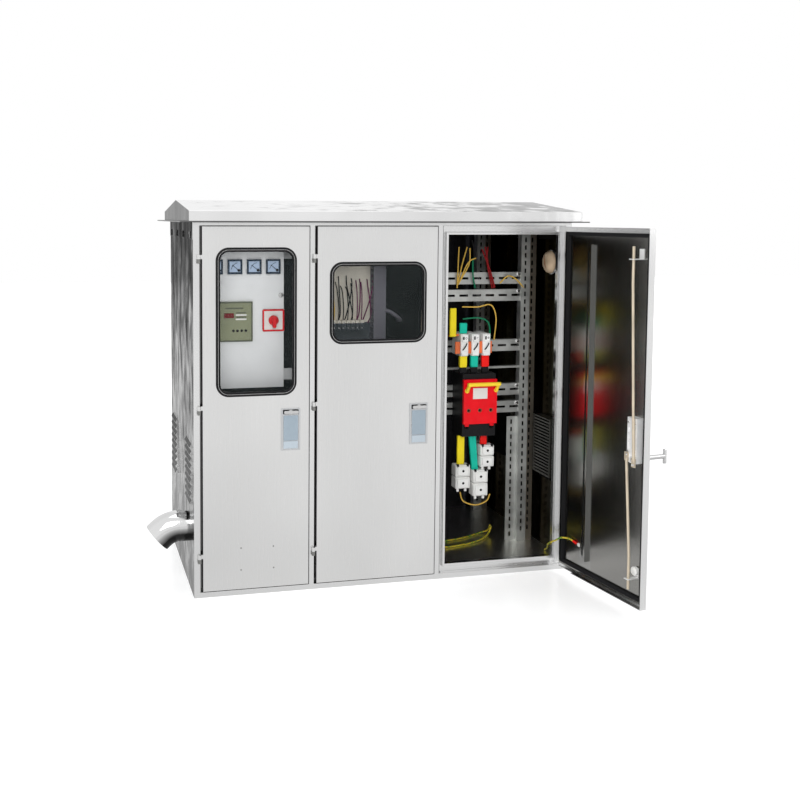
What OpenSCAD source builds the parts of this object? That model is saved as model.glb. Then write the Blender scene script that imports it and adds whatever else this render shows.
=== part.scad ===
// Outdoor three-door distribution box in folded stainless sheet, with its doors' three-point locks
// and the fittings behind them. Millimetres, Z up, X to the right along the front, Y to the back.
// The origin is at the middle of the footprint, on the ground.

/* [Cabinet] */
// Width of the cabinet across its front
body_w = 1350; // [1300:10:1450]
// Depth of the cabinet from front to back
body_d = 700; // [650:10:800]
// Height of the walls up to the top plate
body_h = 1256; // [1240:2:1300]
// Thickness of the folded sheet
sheet = 2; // [1.5:0.25:2.5]
// Height of the floor above the ground
floor_h = 40; // [34:1:42]
// Diameter of the four holes for the ground bolts
base_hole_d = 14; // [10:1:18]
// Distance of the ground bolts from the side walls
base_hole_in_x = 75; // [60:5:100]
// Distance of the ground bolts from the front and back walls
base_hole_in_y = 50; // [40:5:55]

/* [Front frame] */
// Width of the frame's strip at the two outer corners
strip_side = 21; // [18:1:26]
// Width of the frame's strip between two doors
strip_mid = 17; // [14:1:22]
// Height of the sill under the doors
sill_h = 18; // [14:1:24]
// Height of the strip above the doors
head_h = 11; // [8:1:14]
// Depth of the rain groove round each opening
groove_deep = 26; // [24:1:32]
// Distance from the groove's wall to the lip at the sides
groove_side = 15.5; // [15.5:0.5:18]
// Distance from the groove's wall to the lip above and below
groove_top = 22; // [16:1:26]
// Width of the lip that the seal rests on
lip_w = 9; // [7:1:12]
// Distance of the lip's face behind the front strips
lip_back = 9; // [8:0.5:11]

/* [Doors] */
// Width of the left door
door_1_w = 361; // [350:1:375]
// Width of the middle door
door_2_w = 426; // [415:1:440]
// Depth of the doors' returns
door_t = 24; // [22:1:26]
// Depth of the return on the hinge side
hinge_return = 14; // [10:1:15]
// How far the doors stand in front of the strips
door_proud = 2; // [1:0.5:3]
// Gap beside the doors on the hinge side
hinge_gap = 9; // [8:0.5:10]
// Gap round the other edges of the doors
lock_gap = 3; // [2:0.5:4]
// Angle at which the right door stands open
open_angle = 98; // [0:1:118]
// Width of the left door's window, over its gasket
win_1_w = 274; // [240:2:280]
// Height of the left door's window, over its gasket
win_1_h = 497; // [400:1:520]
// Distance of the left door's window from the hinge edge
win_1_x = 44; // [30:1:50]
// Distance of the left window's middle below the door's upper edge
win_1_mid = 317.5; // [300:0.5:330]
// Width of the middle door's window, over its gasket
win_2_w = 345; // [300:1:350]
// Height of the middle door's window, over its gasket
win_2_h = 280; // [200:1:300]
// Distance of the middle door's window from the hinge edge
win_2_x = 42; // [30:1:60]
// Distance of the middle window's middle below the door's upper edge
win_2_mid = 259; // [220:1:290]
// Width of the rubber round each window
gasket_w = 15; // [10:1:18]
// Corner radius of the window's rubber
gasket_r = 44; // [24:1:50]
// Thickness of the window panes
pane_t = 4; // [3:0.5:5]

/* [Hinges] */
// Diameter of the hinge barrels
barrel_d = 12; // [11:0.5:13]
// Diameter of the hinge pins
pin_d = 6; // [5:0.5:7]
// Radial running clearance on pins
run_clear = 0.05; // [0.02:0.01:0.08]
// Length of one hinge knuckle
knuckle_h = 14; // [12:1:20]
// Distance of the hinge pin outside the door's edge
pin_out = 12.5; // [12:0.5:13]
// Distance of the hinge pin in front of the front strips
pin_front = 7; // [7:0.25:8]
// Height of the lowest hinge
hinge_low = 134; // [110:2:160]
// Distance of the highest hinge below the top of the walls
hinge_top = 121; // [100:1:150]

/* [Locks] */
// Width of the lock plates
lock_w = 66; // [60:1:70]
// Height of the lock plates
lock_h = 144; // [130:2:160]
// Distance of the lock plates' middle below the left window
lock_below = 116; // [108:1:130]
// Distance of the lock's axis from the free edge, doors 1 and 2
lock_in = 63.5; // [60:0.5:68]
// Distance of the lock's axis from the free edge, door 3
lock_in_3 = 52; // [50:0.5:66]
// Distance of the handle's axis from the middle of the lock plate
axis_off = 59; // [56:1:60]
// Diameter of the handle's shaft
shaft_d = 16; // [12:0.5:16]
// How far the handle pulls out
pull_out = 95; // [60:1:100]
// Angle that the handle turns
turn_angle = 90; // [80:1:90]
// Radius of the cam's two pins
cam_r = 20; // [19:0.5:22]
// Diameter of the locking rods
rod_d = 9; // [8:0.5:10]
// Clearance between the locked rods and the frame's lip
rod_clear = 1.2; // [1:0.1:3]

/* [Roof and outlet] */
// Height of the gable at its ridge above its eaves
roof_rise = 40; // [30:2:60]
// Height of the roof's straight edge
fascia_h = 33; // [26:1:40]
// How far the roof stands over the front and back
eave_y = 45; // [30:1:60]
// How far the roof stands over the sides
eave_x = 18; // [12:1:30]
// How far the top plate stands over the sides
plate_x = 47; // [32:1:60]
// Outer diameter of the cable outlet
outlet_d = 106; // [80:1:112]
// Angle that the cable outlet bends down
outlet_bend = 42; // [30:1:60]
// Bend radius of the cable outlet, at its axis
outlet_r = 90; // [80:1:110]
// Height of the cable outlet's axis above the ground
outlet_z = 209; // [170:1:230]
// Distance of the cable outlet from the middle of the side
outlet_y = 209; // [150:1:240]

/* [Side vents] */
// Number of louvres in each column
louvre_n = 9; // [6:1:9]
// Spacing of the louvres
louvre_pitch = 24; // [22:1:28]
// Width of a louvre
louvre_w = 140; // [120:5:180]
// How far a louvre stands out
louvre_out = 8; // [5:0.5:10]
// Height of the lowest louvre above the ground
louvre_z = 305; // [290:1:330]
// Width of the vent slots under the roof
vent_w = 60; // [40:2:70]
// Height of the vent slots under the roof
vent_h = 22; // [16:1:26]

/* [Fittings] */
// Distance of the instrument panel behind the cabinet's front
panel_back = 85; // [80:1:95]
// Distance of the rails behind the cabinet's front
rail_back = 222; // [215:1:240]
// Width of a slotted post's face
post_w = 34; // [30:1:38]
// Height of a slotted rail
rail_h = 44; // [38:1:48]
// Width of the fuse switch
switch_w = 129; // [126:1:134]
// Distance of the fuse switch from the third compartment's left wall
switch_x = 138; // [130:1:145]
// Distance of the fuse switch's lower end below its lower rail
switch_below = 86; // [82:1:94]
// Height of the fuse switch
switch_h = 230; // [226:1:240]
// How far the fuse switch's cover tilts
cover_open = 70; // [40:5:80]
// Spacing of the three phases
phase_pitch = 43; // [41:0.5:44]
// How far the busbars stand to the left of the switch's own phases
bus_shift = 12; // [0:1:14]

/* [Hidden] */
$fn = 48;

// Faces of the cabinet
front = -body_d / 2;
back = body_d / 2;
left = -body_w / 2;
right = body_w / 2;
in_left = left + sheet;
in_right = right - sheet;
in_front = front + groove_deep + sheet;
in_back = back - sheet;

// Door recesses, left and right wall of each, counted along the front
recess_1 = [left + strip_side, left + strip_side + hinge_gap + door_1_w + lock_gap];
recess_2 = [recess_1[1] + strip_mid, recess_1[1] + strip_mid + hinge_gap + door_2_w + lock_gap];
recess_3 = [recess_2[1] + strip_mid, right - strip_side];
recesses = [recess_1, recess_2, recess_3];
recess_z = [sill_h, body_h - head_h];
door_3_w = recess_3[1] - recess_3[0] - hinge_gap - lock_gap;
door_w = [door_1_w, door_2_w, door_3_w];
door_z = recess_z[0] + lock_gap;
door_h = recess_z[1] - recess_z[0] - 2 * lock_gap;
door_face = front - door_proud;
hinge_z = [hinge_low, (hinge_low + body_h - hinge_top) / 2, body_h - hinge_top];
win_1_z = door_h - win_1_mid - win_1_h / 2;
win_2_z = door_h - win_2_mid - win_2_h / 2;
lock_z = win_1_z - lock_below;
wall_1 = (recess_1[1] + recess_2[0]) / 2;
wall_2 = (recess_2[1] + recess_3[0]) / 2;

// The lip and the seal, measured from the door's own edges and face
lip_face = lip_back + door_proud;
lip_hinge = groove_side - hinge_gap;
lip_free = groove_side - lock_gap;
lip_ends = groove_top - lock_gap;
seal_over = 1.5;
touch = 0.3;
lip_top_z = recess_z[1] - groove_top - lip_w;
lip_low_z = recess_z[0] + groove_top + lip_w;

// The lock, measured in the door's own frame
lock_ins = [lock_in, lock_in, lock_in_3];
axis_z = [lock_z + axis_off, lock_z + axis_off, lock_z - axis_off];
plate_t = 3.5;
bar_l = 50;
bar_h = 10;
bar_t = 8;
bar_gap = 0.4;
case_deep = 30;
cam_y = case_deep + touch;
cam_t = 3;
eye_y = cam_y + cam_t + touch;
eye_t = 4;
cam_pin_d = 5;
eye_slack = 1;
rod_y = eye_y + eye_t / 2;
cam_half = turn_angle / 2;
rod_travel = 2 * cam_r * sin(cam_half);
rod_x = cam_r * (1 + cos(cam_half)) / 2;
rod_lean = 24;
rod_out = 12;
eye_neck = 17;
rod_tip = 46;
guide_up = door_h - 100;
guide_low = 90;
shaft_l = pull_out + plate_t + 12;
sleeve_d = shaft_d + 6;

// Handle and cam of door 3 as they stand in the open door
out_3 = pull_out;
turn_3 = turn_angle;

// The compartments
room_1 = [in_left, wall_1 - sheet / 2];
room_2 = [wall_1 + sheet / 2, wall_2 - sheet / 2];
room_3 = [wall_2 + sheet / 2, in_right];
panel_y = front + panel_back;
rail_y = front + rail_back;
rail_zs = [for (d = [208, 272, 461, 629, 695]) body_h - d];
switch_left = room_3[0] + switch_x;
switch_z = rail_zs[4] - switch_below;
phase_x = [for (i = [-1:1]) switch_left + switch_w / 2 + i * phase_pitch];
bus_x = [for (x = phase_x) x - bus_shift];

// General helpers
module slab(x, y, z) translate([x[0], y[0], z[0]]) cube([x[1] - x[0], y[1] - y[0], z[1] - z[0]]);
module along_y(r, y0, y1) rotate([-90, 0, 0]) translate([0, 0, y0]) cylinder(r = r, h = y1 - y0);
module along_x(r, x0, x1) rotate([0, 90, 0]) translate([0, 0, x0]) cylinder(r = r, h = x1 - x0);

// A rectangular ring in the XZ plane between two sets of insets, side and end, from y0 to y1
module ring(x, z, out, inn, y0, y1) difference() {
    slab([x[0] + out[0], x[1] - out[1]], [y0, y1], [z[0] + out[2], z[1] - out[2]]);
    slab([x[0] + inn[0], x[1] - inn[1]], [y0 - 1, y1 + 1], [z[0] + inn[2], z[1] - inn[2]]);
}

// A plate with rounded corners in the XZ plane, its lower left corner at the origin
module round_plate(w, h, r, y0, y1) {
    slab([r, w - r], [y0, y1], [0, h]);
    slab([0, w], [y0, y1], [r, h - r]);
    for (x = [r, w - r], z = [r, h - r]) translate([x, 0, z]) along_y(r, y0, y1);
}

// Tubes swept along smooth routes, for wires
function spline(p, i, t) = let (n = len(p) - 1,
    a = p[max(i - 1, 0)], b = p[i], c = p[i + 1], d = p[min(i + 2, n)])
    0.5 * (2 * b + t * (c - a) + t * t * (2 * a - 5 * b + 4 * c - d)
        + t * t * t * (3 * b - a - 3 * c + d));
function smooth(p, k) = concat(
    [for (i = [0:len(p) - 2], j = [0:k - 1]) spline(p, i, j / k)], [p[len(p) - 1]]);
function unit(v) = v / norm(v);
function heading(p, i) = unit(p[min(i + 1, len(p) - 1)] - p[max(i - 1, 0)]);
function side_of(t) = unit(cross(t, abs(t[2]) < 0.9 ? [0, 0, 1] : [0, 1, 0]));
module tube(route, d, steps = 3, sides = 6) {
    p = smooth(route, steps);
    n = len(p);
    rings = [for (i = [0:n - 1]) let (t = heading(p, i), u = side_of(t), v = cross(t, u))
        for (k = [0:sides - 1]) p[i] + d / 2 * (cos(360 * k / sides) * u + sin(360 * k / sides) * v)];
    walls = [for (i = [0:n - 2], k = [0:sides - 1]) [i * sides + k, i * sides + (k + 1) % sides,
        (i + 1) * sides + (k + 1) % sides, (i + 1) * sides + k]];
    first = [for (k = [0:sides - 1]) sides - 1 - k];
    last = [for (k = [0:sides - 1]) (n - 1) * sides + k];
    polyhedron(rings, concat([first, last], walls));
}

// The base: a ring of channel with the floor on it and bolt holes in its lower flanges
flange_w = 80;
module base_frame() color("silver") difference() {
    slab([in_left, in_right], [in_front, in_back], [0, floor_h]);
    slab([in_left + sheet, in_right - sheet], [in_front + sheet, in_back - sheet], [3, floor_h - sheet]);
    slab([in_left + 110, in_right - 110], [in_front + flange_w, in_back - flange_w], [-1, 4]);
    for (x = [left + base_hole_in_x, right - base_hole_in_x], y = [front + base_hole_in_y, back - base_hole_in_y])
        translate([x, y, -1]) cylinder(d = base_hole_d, h = 5);
}

// The front frame: face strips, a rain groove round each opening, and the lip for the seal
module front_frame() color("gainsboro") union() {
    difference() {
        slab([left, right], [front, front + sheet], [0, body_h]);
        for (r = recesses) slab(r, [front - 1, front + sheet + 1], recess_z);
    }
    for (r = recesses) {
        ring(r, recess_z, [-sheet, -sheet, -sheet], [0, 0, 0], front, in_front);
        ring(r, recess_z, [-sheet, -sheet, -sheet], [groove_side + sheet, groove_side + sheet, groove_top + sheet],
            in_front - sheet, in_front);
        ring(r, recess_z, [groove_side, groove_side, groove_top],
            [groove_side + sheet, groove_side + sheet, groove_top + sheet], front + lip_back, in_front);
        ring(r, recess_z, [groove_side, groove_side, groove_top],
            [groove_side + lip_w, groove_side + lip_w, groove_top + lip_w], front + lip_back, front + lip_back + sheet);
        ring(r, recess_z, [groove_side + lip_w - sheet, groove_side + lip_w - sheet, groove_top + lip_w - sheet],
            [groove_side + lip_w, groove_side + lip_w, groove_top + lip_w], front + lip_back, in_front);
    }
}

// A side panel with its vent band and its louvres, built for the left side
louvre_ys = [-0.32 * body_d, 0.3 * body_d];
vent_n = 4;
vent_pitch = 190;
vent_z = body_h - 42;
band_low = body_h - 57;
band_out = 1.5;
module louvre(y, z) translate([left, y, z]) {
    difference() {
        intersection() {
            slab([-louvre_out, 0], [-louvre_w / 2, louvre_w / 2], [0, louvre_pitch * 0.7]);
            translate([0, 0, 0]) rotate([90, 0, 0]) translate([0, 0, -louvre_w / 2])
                linear_extrude(height = louvre_w)
                polygon([[0, 0], [-louvre_out, 0], [-louvre_out, 2], [0, louvre_pitch * 0.7]]);
        }
        rotate([90, 0, 0]) translate([0, 0, -louvre_w / 2 + sheet])
            linear_extrude(height = louvre_w - 2 * sheet)
            polygon([[1, -1], [-louvre_out + 1.5, -1], [-louvre_out + 1.5, 1], [1, louvre_pitch * 0.7 - 3]]);
    }
}
module side_wall() {
    difference() {
        union() {
            slab([left, in_left], [front + sheet, in_back], [0, body_h]);
            slab([left - band_out, left], [front + sheet, in_back], [band_low, body_h]);
        }
        for (i = [0:vent_n - 1])
            slab([left - band_out - 1, in_left + 1],
                [(i - (vent_n - 1) / 2) * vent_pitch - vent_w / 2, (i - (vent_n - 1) / 2) * vent_pitch + vent_w / 2],
                [vent_z - vent_h / 2, vent_z + vent_h / 2]);
        for (y = louvre_ys, i = [0:louvre_n - 1])
            slab([left - 1, in_left + 1], [y - louvre_w / 2 + sheet, y + louvre_w / 2 - sheet],
                [louvre_z + i * louvre_pitch, louvre_z + i * louvre_pitch + louvre_pitch * 0.7 - 5]);
    }
    for (y = louvre_ys, i = [0:louvre_n - 1]) louvre(y, louvre_z + i * louvre_pitch);
}
module left_side_panel() color("gainsboro") difference() {
    side_wall();
    translate([0, -outlet_y, outlet_z]) along_x(outlet_d / 2 - sheet, left - 5, in_left + 1);
}
module right_side_panel() color("gainsboro") mirror([1, 0, 0]) side_wall();
module back_panel() color("silver") difference() {
    slab([left, right], [in_back, back], [0, body_h]);
    for (x = [wall_1, wall_2]) for (z = [300, 1000]) translate([x, 0, z]) along_y(4, in_back - 1, back + 1);
}
module partitions() color("darkgray") for (x = [wall_1, wall_2])
    slab([x - sheet / 2, x + sheet / 2], [in_front, in_back], [floor_h, body_h]);

// The top plate with hemmed side flanges, and the gabled cover on it
plate_t_top = 4;
module top_plate() color("silver") slab([left - plate_x, right + plate_x],
    [front - eave_y, back + eave_y], [body_h, body_h + plate_t_top]);
roof_z = body_h + plate_t_top;
module gable(inset) polygon([[front - eave_y + inset, inset], [front - eave_y + inset, fascia_h - inset / 4],
    [0, fascia_h + roof_rise - inset], [back + eave_y - inset, fascia_h - inset / 4], [back + eave_y - inset, inset]]);
module roof_cover() color("gainsboro") translate([0, 0, roof_z]) difference() {
    rotate([90, 0, 90]) translate([0, 0, left - eave_x]) linear_extrude(height = body_w + 2 * eave_x) gable(0);
    rotate([90, 0, 90]) translate([0, 0, left - eave_x + sheet])
        linear_extrude(height = body_w + 2 * eave_x - 2 * sheet) translate([0, -2 * sheet]) gable(sheet);
}

// The cable outlet: a straight end on the wall, a bend and a straight mouth
outlet_in = 35;
outlet_out = 20;
module outlet_solid(r, extra) {
    along_x(r, -outlet_in, extra);
    translate([-outlet_in, 0, -outlet_r]) rotate([90, 0, 0]) rotate([0, 0, 90])
        rotate_extrude(angle = outlet_bend) translate([outlet_r, 0]) circle(r);
    translate([-outlet_in, 0, -outlet_r]) rotate([0, -outlet_bend, 0]) translate([0, 0, outlet_r])
        along_x(r, -outlet_out - extra, 0);
}
module cable_outlet() color("silver") translate([left, -outlet_y, outlet_z]) difference() {
    union() {
        outlet_solid(outlet_d / 2, 0);
        along_x(outlet_d / 2 + 1.5, -outlet_in - 3, -outlet_in + 3);
    }
    outlet_solid(outlet_d / 2 - sheet, 1);
}

// Hinges: the frame's lower knuckle carries the pin, the door's upper knuckle turns on it
pin_ys = front - pin_front;
pins = [recess_1[0] + hinge_gap - pin_out, recess_2[0] + hinge_gap - pin_out, recess_3[1] - hinge_gap + pin_out];
knuckle_gap = 0.3;
module frame_hinge_pins() color("dimgray") for (x = pins, z = hinge_z) translate([x, pin_ys, z]) {
    translate([0, 0, -knuckle_h]) cylinder(d = barrel_d, h = knuckle_h);
    cylinder(d = pin_d, h = knuckle_h - 1);
    slab([-5, 5], [0, pin_front], [-knuckle_h, 0]);
}

// Places a door's pieces, drawn with the hinge edge at x = 0, the free edge at x = w, the outer
// face at y = 0 and the lower edge at z = 0
module at_door(k) {
    if (k < 2) translate([recesses[k][0] + hinge_gap, door_face, door_z]) children();
    else translate([pins[2], pin_ys, 0]) rotate([0, 0, open_angle]) translate([-pins[2], -pin_ys, 0])
        translate([recess_3[1] - hinge_gap, door_face, door_z]) mirror([1, 0, 0]) children();
}
knuckle_y = -(pin_front - door_proud);
module door_knuckles() for (z = hinge_z) translate([0, 0, z - door_z]) {
    difference() {
        union() {
            translate([-pin_out, knuckle_y, knuckle_gap]) cylinder(d = barrel_d, h = knuckle_h);
            slab([-pin_out, 0], [-1.5, 1], [knuckle_gap, knuckle_h]);
            slab([-2.5, 0], [-1.5, hinge_return - 1], [knuckle_gap, knuckle_h]);
        }
        translate([-pin_out, knuckle_y, -1]) cylinder(r = pin_d / 2 + run_clear, h = knuckle_h + 2);
    }
}

// The door pan: skin, returns and a stiffener or a window
lock_cut = [44, 124];
module pan(k) difference() {
    union() {
        slab([0, door_w[k]], [0, sheet], [0, door_h]);
        slab([0, sheet], [0, hinge_return], [0, door_h]);
        slab([door_w[k] - sheet, door_w[k]], [0, door_t], [0, door_h]);
        for (z = [0, door_h - sheet]) {
            slab([0, door_w[k]], [0, hinge_return], [z, z + sheet]);
            slab([return_x, door_w[k]], [0, door_t], [z, z + sheet]);
        }
        door_knuckles();
    }
    translate([door_w[k] - lock_ins[k], 0, axis_z[k]]) along_y(shaft_d / 2 + 0.5, -1, sheet + 1);
}
return_x = 84;
stiff_x = 122;
stiff_w = 25;
stiff_in = 60;
module stiffener() difference() {
    slab([stiff_x, stiff_x + stiff_w], [sheet, hinge_return], [stiff_in, door_h - stiff_in]);
    slab([stiff_x + sheet, stiff_x + stiff_w - sheet], [sheet - 1, hinge_return - sheet],
        [stiff_in + sheet, door_h - stiff_in - sheet]);
    slab([stiff_x + 8, stiff_x + stiff_w - 8], [hinge_return - sheet - 1, hinge_return + 1],
        [stiff_in + 20, door_h - stiff_in - 20]);
}
bead = 4;
module window_hole(w, h, x, z) translate([x + bead, 0, z + bead])
    round_plate(w - 2 * bead, h - 2 * bead, gasket_r - bead, -1, sheet + 1);
module door_1_shell() color("gainsboro") at_door(0) difference() {
    pan(0);
    window_hole(win_1_w, win_1_h, win_1_x, win_1_z);
}
module door_2_shell() color("gainsboro") at_door(1) difference() {
    pan(1);
    window_hole(win_2_w, win_2_h, win_2_x, win_2_z);
}
module door_3_shell() color("gainsboro") at_door(2) union() {
    pan(2);
    stiffener();
}

// The seal inside each door, pressed by the frame's lip
module seal(k) at_door(k) ring([0, door_w[k]], [0, door_h],
    [lip_hinge - seal_over, lip_free - seal_over, lip_ends - seal_over],
    [lip_hinge + lip_w + seal_over, lip_free + lip_w + seal_over, lip_ends + lip_w + seal_over],
    sheet, lip_face - touch);
module door_1_seal() color("black") seal(0);
module door_2_seal() color("black") seal(1);
module door_3_seal() color("black") seal(2);

// The window rubber: an H section that grips the skin's edge outside and the pane inside
rubber_t = 4;
module gasket(w, h, x, z) translate([x, 0, z]) difference() {
    union() {
        round_plate(w, h, gasket_r, -rubber_t, 0);
        translate([bead, 0, bead]) round_plate(w - 2 * bead, h - 2 * bead, gasket_r - bead, 0, sheet);
        round_plate(w, h, gasket_r, sheet, sheet + rubber_t);
    }
    translate([gasket_w, 0, gasket_w])
        round_plate(w - 2 * gasket_w, h - 2 * gasket_w, gasket_r - gasket_w, -rubber_t - 1, sheet + rubber_t + 1);
    translate([gasket_w - 5, 0, gasket_w - 5])
        round_plate(w - 2 * gasket_w + 10, h - 2 * gasket_w + 10, gasket_r - gasket_w + 5, pane_y, pane_y + pane_t);
}
pane_y = sheet / 2 - pane_t / 2;
module pane(w, h, x, z) translate([x + gasket_w - 5, 0, z + gasket_w - 5])
    round_plate(w - 2 * gasket_w + 10, h - 2 * gasket_w + 10, gasket_r - gasket_w + 5, pane_y, pane_y + pane_t);
module door_1_window_gasket() color("black") at_door(0) gasket(win_1_w, win_1_h, win_1_x, win_1_z);
module door_1_window_pane() color("lightcyan", 0.4) at_door(0) pane(win_1_w, win_1_h, win_1_x, win_1_z);
module door_2_window_gasket() color("black") at_door(1) gasket(win_2_w, win_2_h, win_2_x, win_2_z);
module door_2_window_pane() color("lightcyan", 0.4) at_door(1) pane(win_2_w, win_2_h, win_2_x, win_2_z);

// The lock plate: a raised rim, a pocket for the T handle, a cover plate and a push strip. Drawn
// about the middle of the plate with the handle's axis above it, and turned over for door 3
rim = 6;
module at_lock(k) at_door(k) translate([door_w[k] - lock_ins[k], 0, lock_z])
    rotate([0, k == 2 ? 180 : 0, 0]) children();
module lock_plate(k) at_lock(k) difference() {
    union() {
        difference() {
            slab([-lock_w / 2, lock_w / 2], [-plate_t, 0], [-lock_h / 2, lock_h / 2]);
            slab([-lock_w / 2 + rim, lock_w / 2 - rim], [-plate_t - 1, -1.5],
                [-lock_h / 2 + rim - 2, lock_h / 2 - rim + 2]);
        }
        slab([-bar_l / 2 - 1, bar_l / 2 + 1], [-plate_t + 0.4, -1], [-lock_h / 2 + 34, lock_h / 2 - 22]);
        rotate([90, 0, 90]) translate([0, 0, -bar_l / 2 - 1]) linear_extrude(height = bar_l + 2)
            polygon([[-1, -lock_h / 2 + 6], [-2, -lock_h / 2 + 6], [-plate_t + 0.4, -lock_h / 2 + 31], [-1, -lock_h / 2 + 31]]);
    }
    translate([0, 0, axis_off]) along_y(shaft_d / 2 + 0.5, -plate_t - 1, 1);
}
module door_1_lock_plate() color("lightsteelblue") lock_plate(0);
module door_2_lock_plate() color("lightsteelblue") lock_plate(1);
module door_3_lock_plate() color("lightsteelblue") lock_plate(2);

// The lock case on the door's inside, and the two guides of the rods
case_w = 46;
guide_t = 3;
guide_hole = rod_d / 2 + 0.4;
function tip_up(k) = [k == 2 ? rod_x - rod_lean : rod_x + rod_out, guide_up];
function tip_low(k) = [-rod_x + rod_lean, guide_low];
module guide(k, tip) translate([door_w[k] - lock_ins[k] + tip[0], 0, tip[1]]) difference() {
    union() {
        slab([-10, 10], [sheet, sheet + guide_t], [0, 34]);
        slab([-10, 10], [sheet, rod_y + rod_d / 2 + 5], [0, guide_t]);
    }
    translate([0, rod_y, -1]) cylinder(r = guide_hole, h = guide_t + 2);
}
module lock_case(k) {
    at_lock(k) difference() {
        union() {
            slab([-case_w / 2, case_w / 2], [sheet, case_deep], [-lock_h / 2 - 4, lock_h / 2 - 2]);
            slab([k == 2 ? -case_w / 2 : -case_w / 2 - 8, k == 2 ? case_w / 2 + 8 : case_w / 2],
                [sheet, sheet + 2], [-lock_h / 2 - 4, lock_h / 2 - 2]);
        }
        translate([0, 0, axis_off]) along_y(sleeve_d / 2 + run_clear, sheet - 1, case_deep + 1);
        for (z = [-46, -20, 6]) slab([-case_w / 2 + 6, case_w / 2 - 6], [case_deep - 2, case_deep + 1], [z, z + 20]);
    }
    at_door(k) {
        guide(k, tip_up(k));
        guide(k, tip_low(k));
    }
}
module door_1_lock_case() color("lightgray") lock_case(0);
module door_2_lock_case() color("lightgray") lock_case(1);
module door_3_lock_case() color("lightgray") lock_case(2);

// The lock cam: a sleeve on the handle's shaft with a two-armed lever and two pins behind it
module cam(k, turned) at_door(k) translate([door_w[k] - lock_ins[k], 0, axis_z[k]])
    rotate([0, cam_half * (turned ? 1 : -1), 0]) difference() {
        union() {
            along_y(sleeve_d / 2, sheet + 0.5, cam_y + cam_t);
            slab([-cam_r, cam_r], [cam_y, cam_y + cam_t], [-6, 6]);
            for (s = [-1, 1]) translate([s * cam_r, 0, 0]) {
                along_y(6, cam_y, cam_y + cam_t);
                along_y(cam_pin_d / 2, cam_y, eye_y + eye_t + 2);
            }
        }
        along_y(shaft_d / 2 + run_clear, 0, cam_y + cam_t + 1);
    }
module door_1_lock_cam() color("silver") cam(0, false);
module door_2_lock_cam() color("silver") cam(1, false);
module door_3_lock_cam() color("silver") cam(2, true);

// The T handle: a rounded bar on a round shaft that slides in the cam's sleeve
module handle(k, out, turned) at_door(k)
    translate([door_w[k] - lock_ins[k], -plate_t - bar_gap - out, axis_z[k]]) rotate([0, turned, 0]) union() {
        slab([-bar_l / 2 + bar_h / 2, bar_l / 2 - bar_h / 2], [-bar_t, 0], [-bar_h / 2, bar_h / 2]);
        for (s = [-1, 1]) translate([s * (bar_l - bar_h) / 2, 0, 0]) along_y(bar_h / 2, -bar_t, 0);
        along_y(shaft_d / 2, -1, shaft_l);
    }
module door_1_handle() color("silver") handle(0, 0, 0);
module door_2_handle() color("silver") handle(1, 0, 0);
module door_3_handle() color("silver") handle(2, out_3, turn_3);

// The locking rods: a slotted eye on a cam pin, a leaning stretch, and an upright tip in its guide
eye_long = cam_r * (1 - cos(cam_half)) + cam_pin_d + 2 * eye_slack;
eye_high = cam_pin_d + 2 * eye_slack;
module eye(side) difference() {
    slab([side * rod_x - eye_long / 2 - 2, side * rod_x + eye_long / 2 + 2], [eye_y, eye_y + eye_t],
        [-eye_high / 2 - (side > 0 ? 4 : eye_neck), eye_high / 2 + (side > 0 ? eye_neck : 4)]);
    slab([side * rod_x - eye_long / 2, side * rod_x + eye_long / 2], [eye_y - 1, eye_y + eye_t + 1],
        [-eye_high / 2, eye_high / 2]);
}
module bar_between(a, b) translate([a[0], rod_y, a[1]])
    rotate([0, atan2(b[0] - a[0], b[1] - a[1]), 0]) cylinder(d = rod_d, h = norm(b - a));
pin_lift = cam_r * sin(cam_half);
bar_from = pin_lift + eye_high / 2 + eye_neck / 2;
module upper_rod(k, down) at_door(k) translate([door_w[k] - lock_ins[k], 0, -down]) {
    tip = tip_up(k);
    union() {
        translate([0, 0, axis_z[k] + pin_lift]) eye(1);
        bar_between([rod_x, axis_z[k] + bar_from], [tip[0], tip[1] - rod_tip]);
        bar_between([tip[0], tip[1] - rod_tip], [tip[0], lip_top_z - rod_clear - door_z]);
        translate([tip[0], rod_y, tip[1] - rod_tip]) sphere(d = rod_d + 1);
    }
}
module lower_rod(k, up) at_door(k) translate([door_w[k] - lock_ins[k], 0, up]) {
    tip = tip_low(k);
    union() {
        translate([0, 0, axis_z[k] - pin_lift]) eye(-1);
        bar_between([tip[0], tip[1] + rod_tip], [-rod_x, axis_z[k] - bar_from]);
        bar_between([tip[0], lip_low_z + rod_clear - door_z], [tip[0], tip[1] + rod_tip]);
        translate([tip[0], rod_y, tip[1] + rod_tip]) sphere(d = rod_d + 1);
    }
}
module door_1_upper_rod() color("burlywood") upper_rod(0, 0);
module door_1_lower_rod() color("burlywood") lower_rod(0, 0);
module door_2_upper_rod() color("burlywood") upper_rod(1, 0);
module door_2_lower_rod() color("burlywood") lower_rod(1, 0);
module door_3_upper_rod() color("burlywood") upper_rod(2, rod_travel);
module door_3_lower_rod() color("burlywood") lower_rod(2, rod_travel);

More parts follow.
